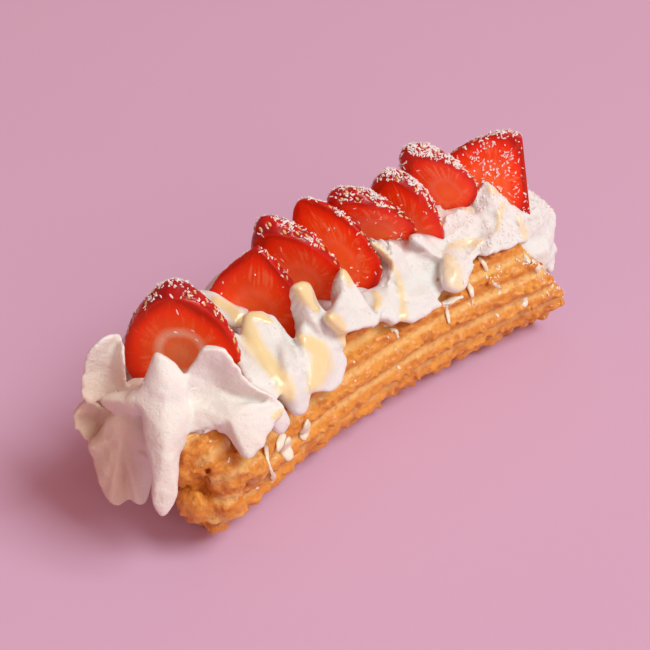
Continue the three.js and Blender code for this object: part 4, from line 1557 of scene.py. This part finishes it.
def cream_finish():
    finish = Finish("whipped_cream")
    pits = finish.between(finish.noise(1.3, 2), 0.34, 0.44)
    fine = finish.noise(0.8, 4, 0.6) * 0.75 + pits * 0.25
    broad = finish.noise(9, 2)
    white = finish.blend(finish.between(broad, 0.4, 0.7), (0.8, 0.77, 0.73),
                         (0.82, 0.79, 0.75))
    # Painted light: the star's cream is painted lighter than the cream beyond the star
    white = finish.blend(finish.mask("painted_dimmer"), white, (0.755, 0.74, 0.715))
    # Painted shade: the star's shaded lower left part is painted darker and warmer
    tint = finish.blend(finish.mask("painted_shade"), white, (0.73, 0.575, 0.45))
    sauce = finish.mask("sauce")
    glaze = finish.blend(finish.noise(4, 2), (0.81, 0.62, 0.25), (0.85, 0.69, 0.37))
    tint = finish.blend(sauce * 0.85, tint, glaze)
    return finish.surface(
        bump=fine * (1 - sauce * 0.85), bump_depth=0.25,
        Base_Color=tint,
        Roughness=0.55 - sauce * 0.33,
        Coat_Weight=sauce * 0.4,
        Coat_Roughness=0.08,
        Subsurface_Weight=0.45,
        Subsurface_Radius=(1.0, 0.6, 0.45),
        Subsurface_Scale=0.003,
        Specular_IOR_Level=0.4,
    )


def berry_finish():
    finish = Finish("strawberry")
    cut = finish.mask("cut")
    radius = finish.mask("from_core")
    streak = finish.mask("streak")
    flesh = finish.ramp(radius, [
        (0.0, (1.0, 0.14, 0.02)),
        (0.35, (1.0, 0.1, 0.012)),
        (0.7, (0.97, 0.055, 0.006)),
        (0.88, (0.8, 0.018, 0.003)),
        (1.0, (0.45, 0.005, 0.002)),
    ])
    ringed = finish.ramp(radius, [
        (0.0, (1.0, 0.36, 0.16)),
        (0.28, (1.0, 0.24, 0.08)),
        (0.38, (1.0, 0.58, 0.4)),
        (0.52, (1.0, 0.12, 0.02)),
        (0.8, (0.9, 0.036, 0.005)),
        (1.0, (0.45, 0.007, 0.002)),
    ])
    flesh = finish.blend(finish.mask("ring"), flesh, ringed)
    streaked = finish.blend(finish.between(streak, 0.46, 0.9) * 0.42, flesh,
                            (0.98, 0.34, 0.15))
    skin = finish.blend(finish.between(finish.noise(6, 2), 0.35, 0.7), (0.36, 0.003, 0.004),
                        (0.56, 0.009, 0.007))
    colour = finish.blend(cut, skin, streaked)
    # Painted light: the cut face glows red, and the skin faintly, standing in for light that shines
    # through the flesh
    painted_glow = finish.blend(cut, (0.1, 0, 0), (1.0, 0.06, 0))
    return finish.surface(
        bump=finish.noise(0.9, 3), bump_depth=0.14,
        Base_Color=colour,
        Roughness=0.42,
        Coat_Weight=0.08 + (1 - cut) * 0.4,
        Coat_Roughness=0.15,
        Specular_IOR_Level=0.2,
        Subsurface_Weight=0.6,
        Subsurface_Radius=(1.0, 0.2, 0.1),
        Subsurface_Scale=0.005,
        Emission_Color=painted_glow,
        Emission_Strength=0.085,
    )


def seed_finish():
    finish = Finish("berry_seed")
    tint = finish.blend(finish.noise(2.5, 1), (0.7, 0.33, 0.06), (0.85, 0.55, 0.2))
    return finish.surface(Base_Color=tint, Roughness=0.35)


def drop_finish():
    finish = Finish("thick_drops")
    tint = finish.blend(finish.noise(3, 2), (0.84, 0.72, 0.52), (0.85, 0.79, 0.69))
    return finish.surface(
        bump=finish.noise(1.2, 2), bump_depth=0.2,
        Base_Color=tint,
        Roughness=0.3,
        Subsurface_Weight=0.35,
        Subsurface_Radius=(1.0, 0.7, 0.4),
        Subsurface_Scale=0.002,
    )


def flake_finish():
    finish = Finish("coconut")
    tint = finish.blend(finish.noise(3, 1), (0.9, 0.84, 0.82), (0.95, 0.92, 0.91))
    return finish.surface(
        Base_Color=tint,
        Roughness=0.5,
        Subsurface_Weight=0.2,
        Subsurface_Radius=(1.0, 0.8, 0.7),
        Subsurface_Scale=0.0006,
        Alpha=0.75,
        # Painted light: the flakes glow faintly so that their own shade doesn't darken them
        Emission_Color=(1, 0.85, 0.82),
        Emission_Strength=0.08,
    )


def floor_finish():
    finish = Finish("pale_floor")
    tint = finish.blend(finish.noise(120, 2), (0.685, 0.424, 0.603), (0.695, 0.432, 0.612))
    return finish.surface(Base_Color=tint, Roughness=0.6, Specular_IOR_Level=0.3)


# Build
def dress(piece, material, node):
    piece.data.materials.append(material)
    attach(piece, "root")
    if node:
        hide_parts(node)


churro = make_churro()
dress(churro, crust_finish(), "churro")
cream_grid, cream_points = make_cream_grid()
pour_sauce(cream_grid, cream_points)
cut_neighbours(cream_grid.field, cream_points)
cream = make_cream(cream_grid)
dress(cream, cream_finish(), "cream")
dress(make_drops(), drop_finish(), None)
strawberry = berry_finish()
scatter = np.random.default_rng(404)
seed_rows = []
landings = [
    landing_spots(cream, CREAM_FLAKES, weigh_cream, scatter),
    landing_spots(churro, DOUGH_FLAKES, weigh_dough, scatter),
]
for number, berry in enumerate(BERRIES):
    half_berry, spots, tipward = make_berry(number, berry)
    dress(half_berry, strawberry, f"strawberry_{number + 1}")
    seed_rows.append((spots, tipward))
    landings.append(
        landing_spots(half_berry, BERRY_FLAKES[number], weigh_berry(number), scatter))
dress(make_seeds(seed_rows), seed_finish(), None)
dress(make_flakes(landings), flake_finish(), None)


# Floor, light and camera
FLOOR_REACH = 3000
LIT_HEIGHT = 0.03
SKY_COLOUR = (1.0, 0.5, 0.42, 1)
SKY_STRENGTH = 0.42


def make_floor():
    corners = [[-1, -1, 0], [1, -1, 0], [1, 1, 0], [-1, 1, 0]]
    floor = mesh_object("floor", np.array(corners) * FLOOR_REACH, [[0, 1, 2, 3]])
    floor.data.materials.append(floor_finish())


def add_light(name, towards, distance, size, energy, colour):
    """A round light in a direction from the food, in metres and watts."""
    data = bpy.data.lights.new(name, "AREA")
    data.shape = "DISK"
    data.size = size
    data.energy = energy
    data.color = colour
    light = bpy.data.objects.new(name, data)
    direction = Vector(towards).normalized()
    light.location = direction * distance + Vector((0, 0, LIT_HEIGHT))
    light.rotation_euler = direction.to_track_quat("Z", "Y").to_euler()
    bpy.context.scene.collection.objects.link(light)


def make_camera():
    back = Vector(CAMERA_BACK)
    data = bpy.data.cameras.new("camera")
    data.sensor_width = SENSOR
    data.lens = FOCAL / PICTURE * SENSOR
    data.clip_start = 0.01
    camera = bpy.data.objects.new("camera", data)
    camera.location = Vector(CAMERA_TARGET) + back * CAMERA_DISTANCE
    camera.rotation_euler = back.to_track_quat("Z", "Y").to_euler()
    bpy.context.scene.collection.objects.link(camera)
    bpy.context.scene.camera = camera


def make_sky():
    world = bpy.data.worlds.new("studio")
    world.use_nodes = True
    background = world.node_tree.nodes["Background"]
    background.inputs["Color"].default_value = SKY_COLOUR
    background.inputs["Strength"].default_value = SKY_STRENGTH
    bpy.context.scene.world = world


make_floor()
make_camera()
add_light("key", (0.24, -0.6, 0.77), 4.5, 2.5, 163, (0.87, 1, 0.99))
add_light("fill", (-0.25, -1, 0.45), 4, 2.8, 33, (1, 0.97, 0.9))
make_sky()
bpy.context.scene.view_settings.view_transform = "Standard"
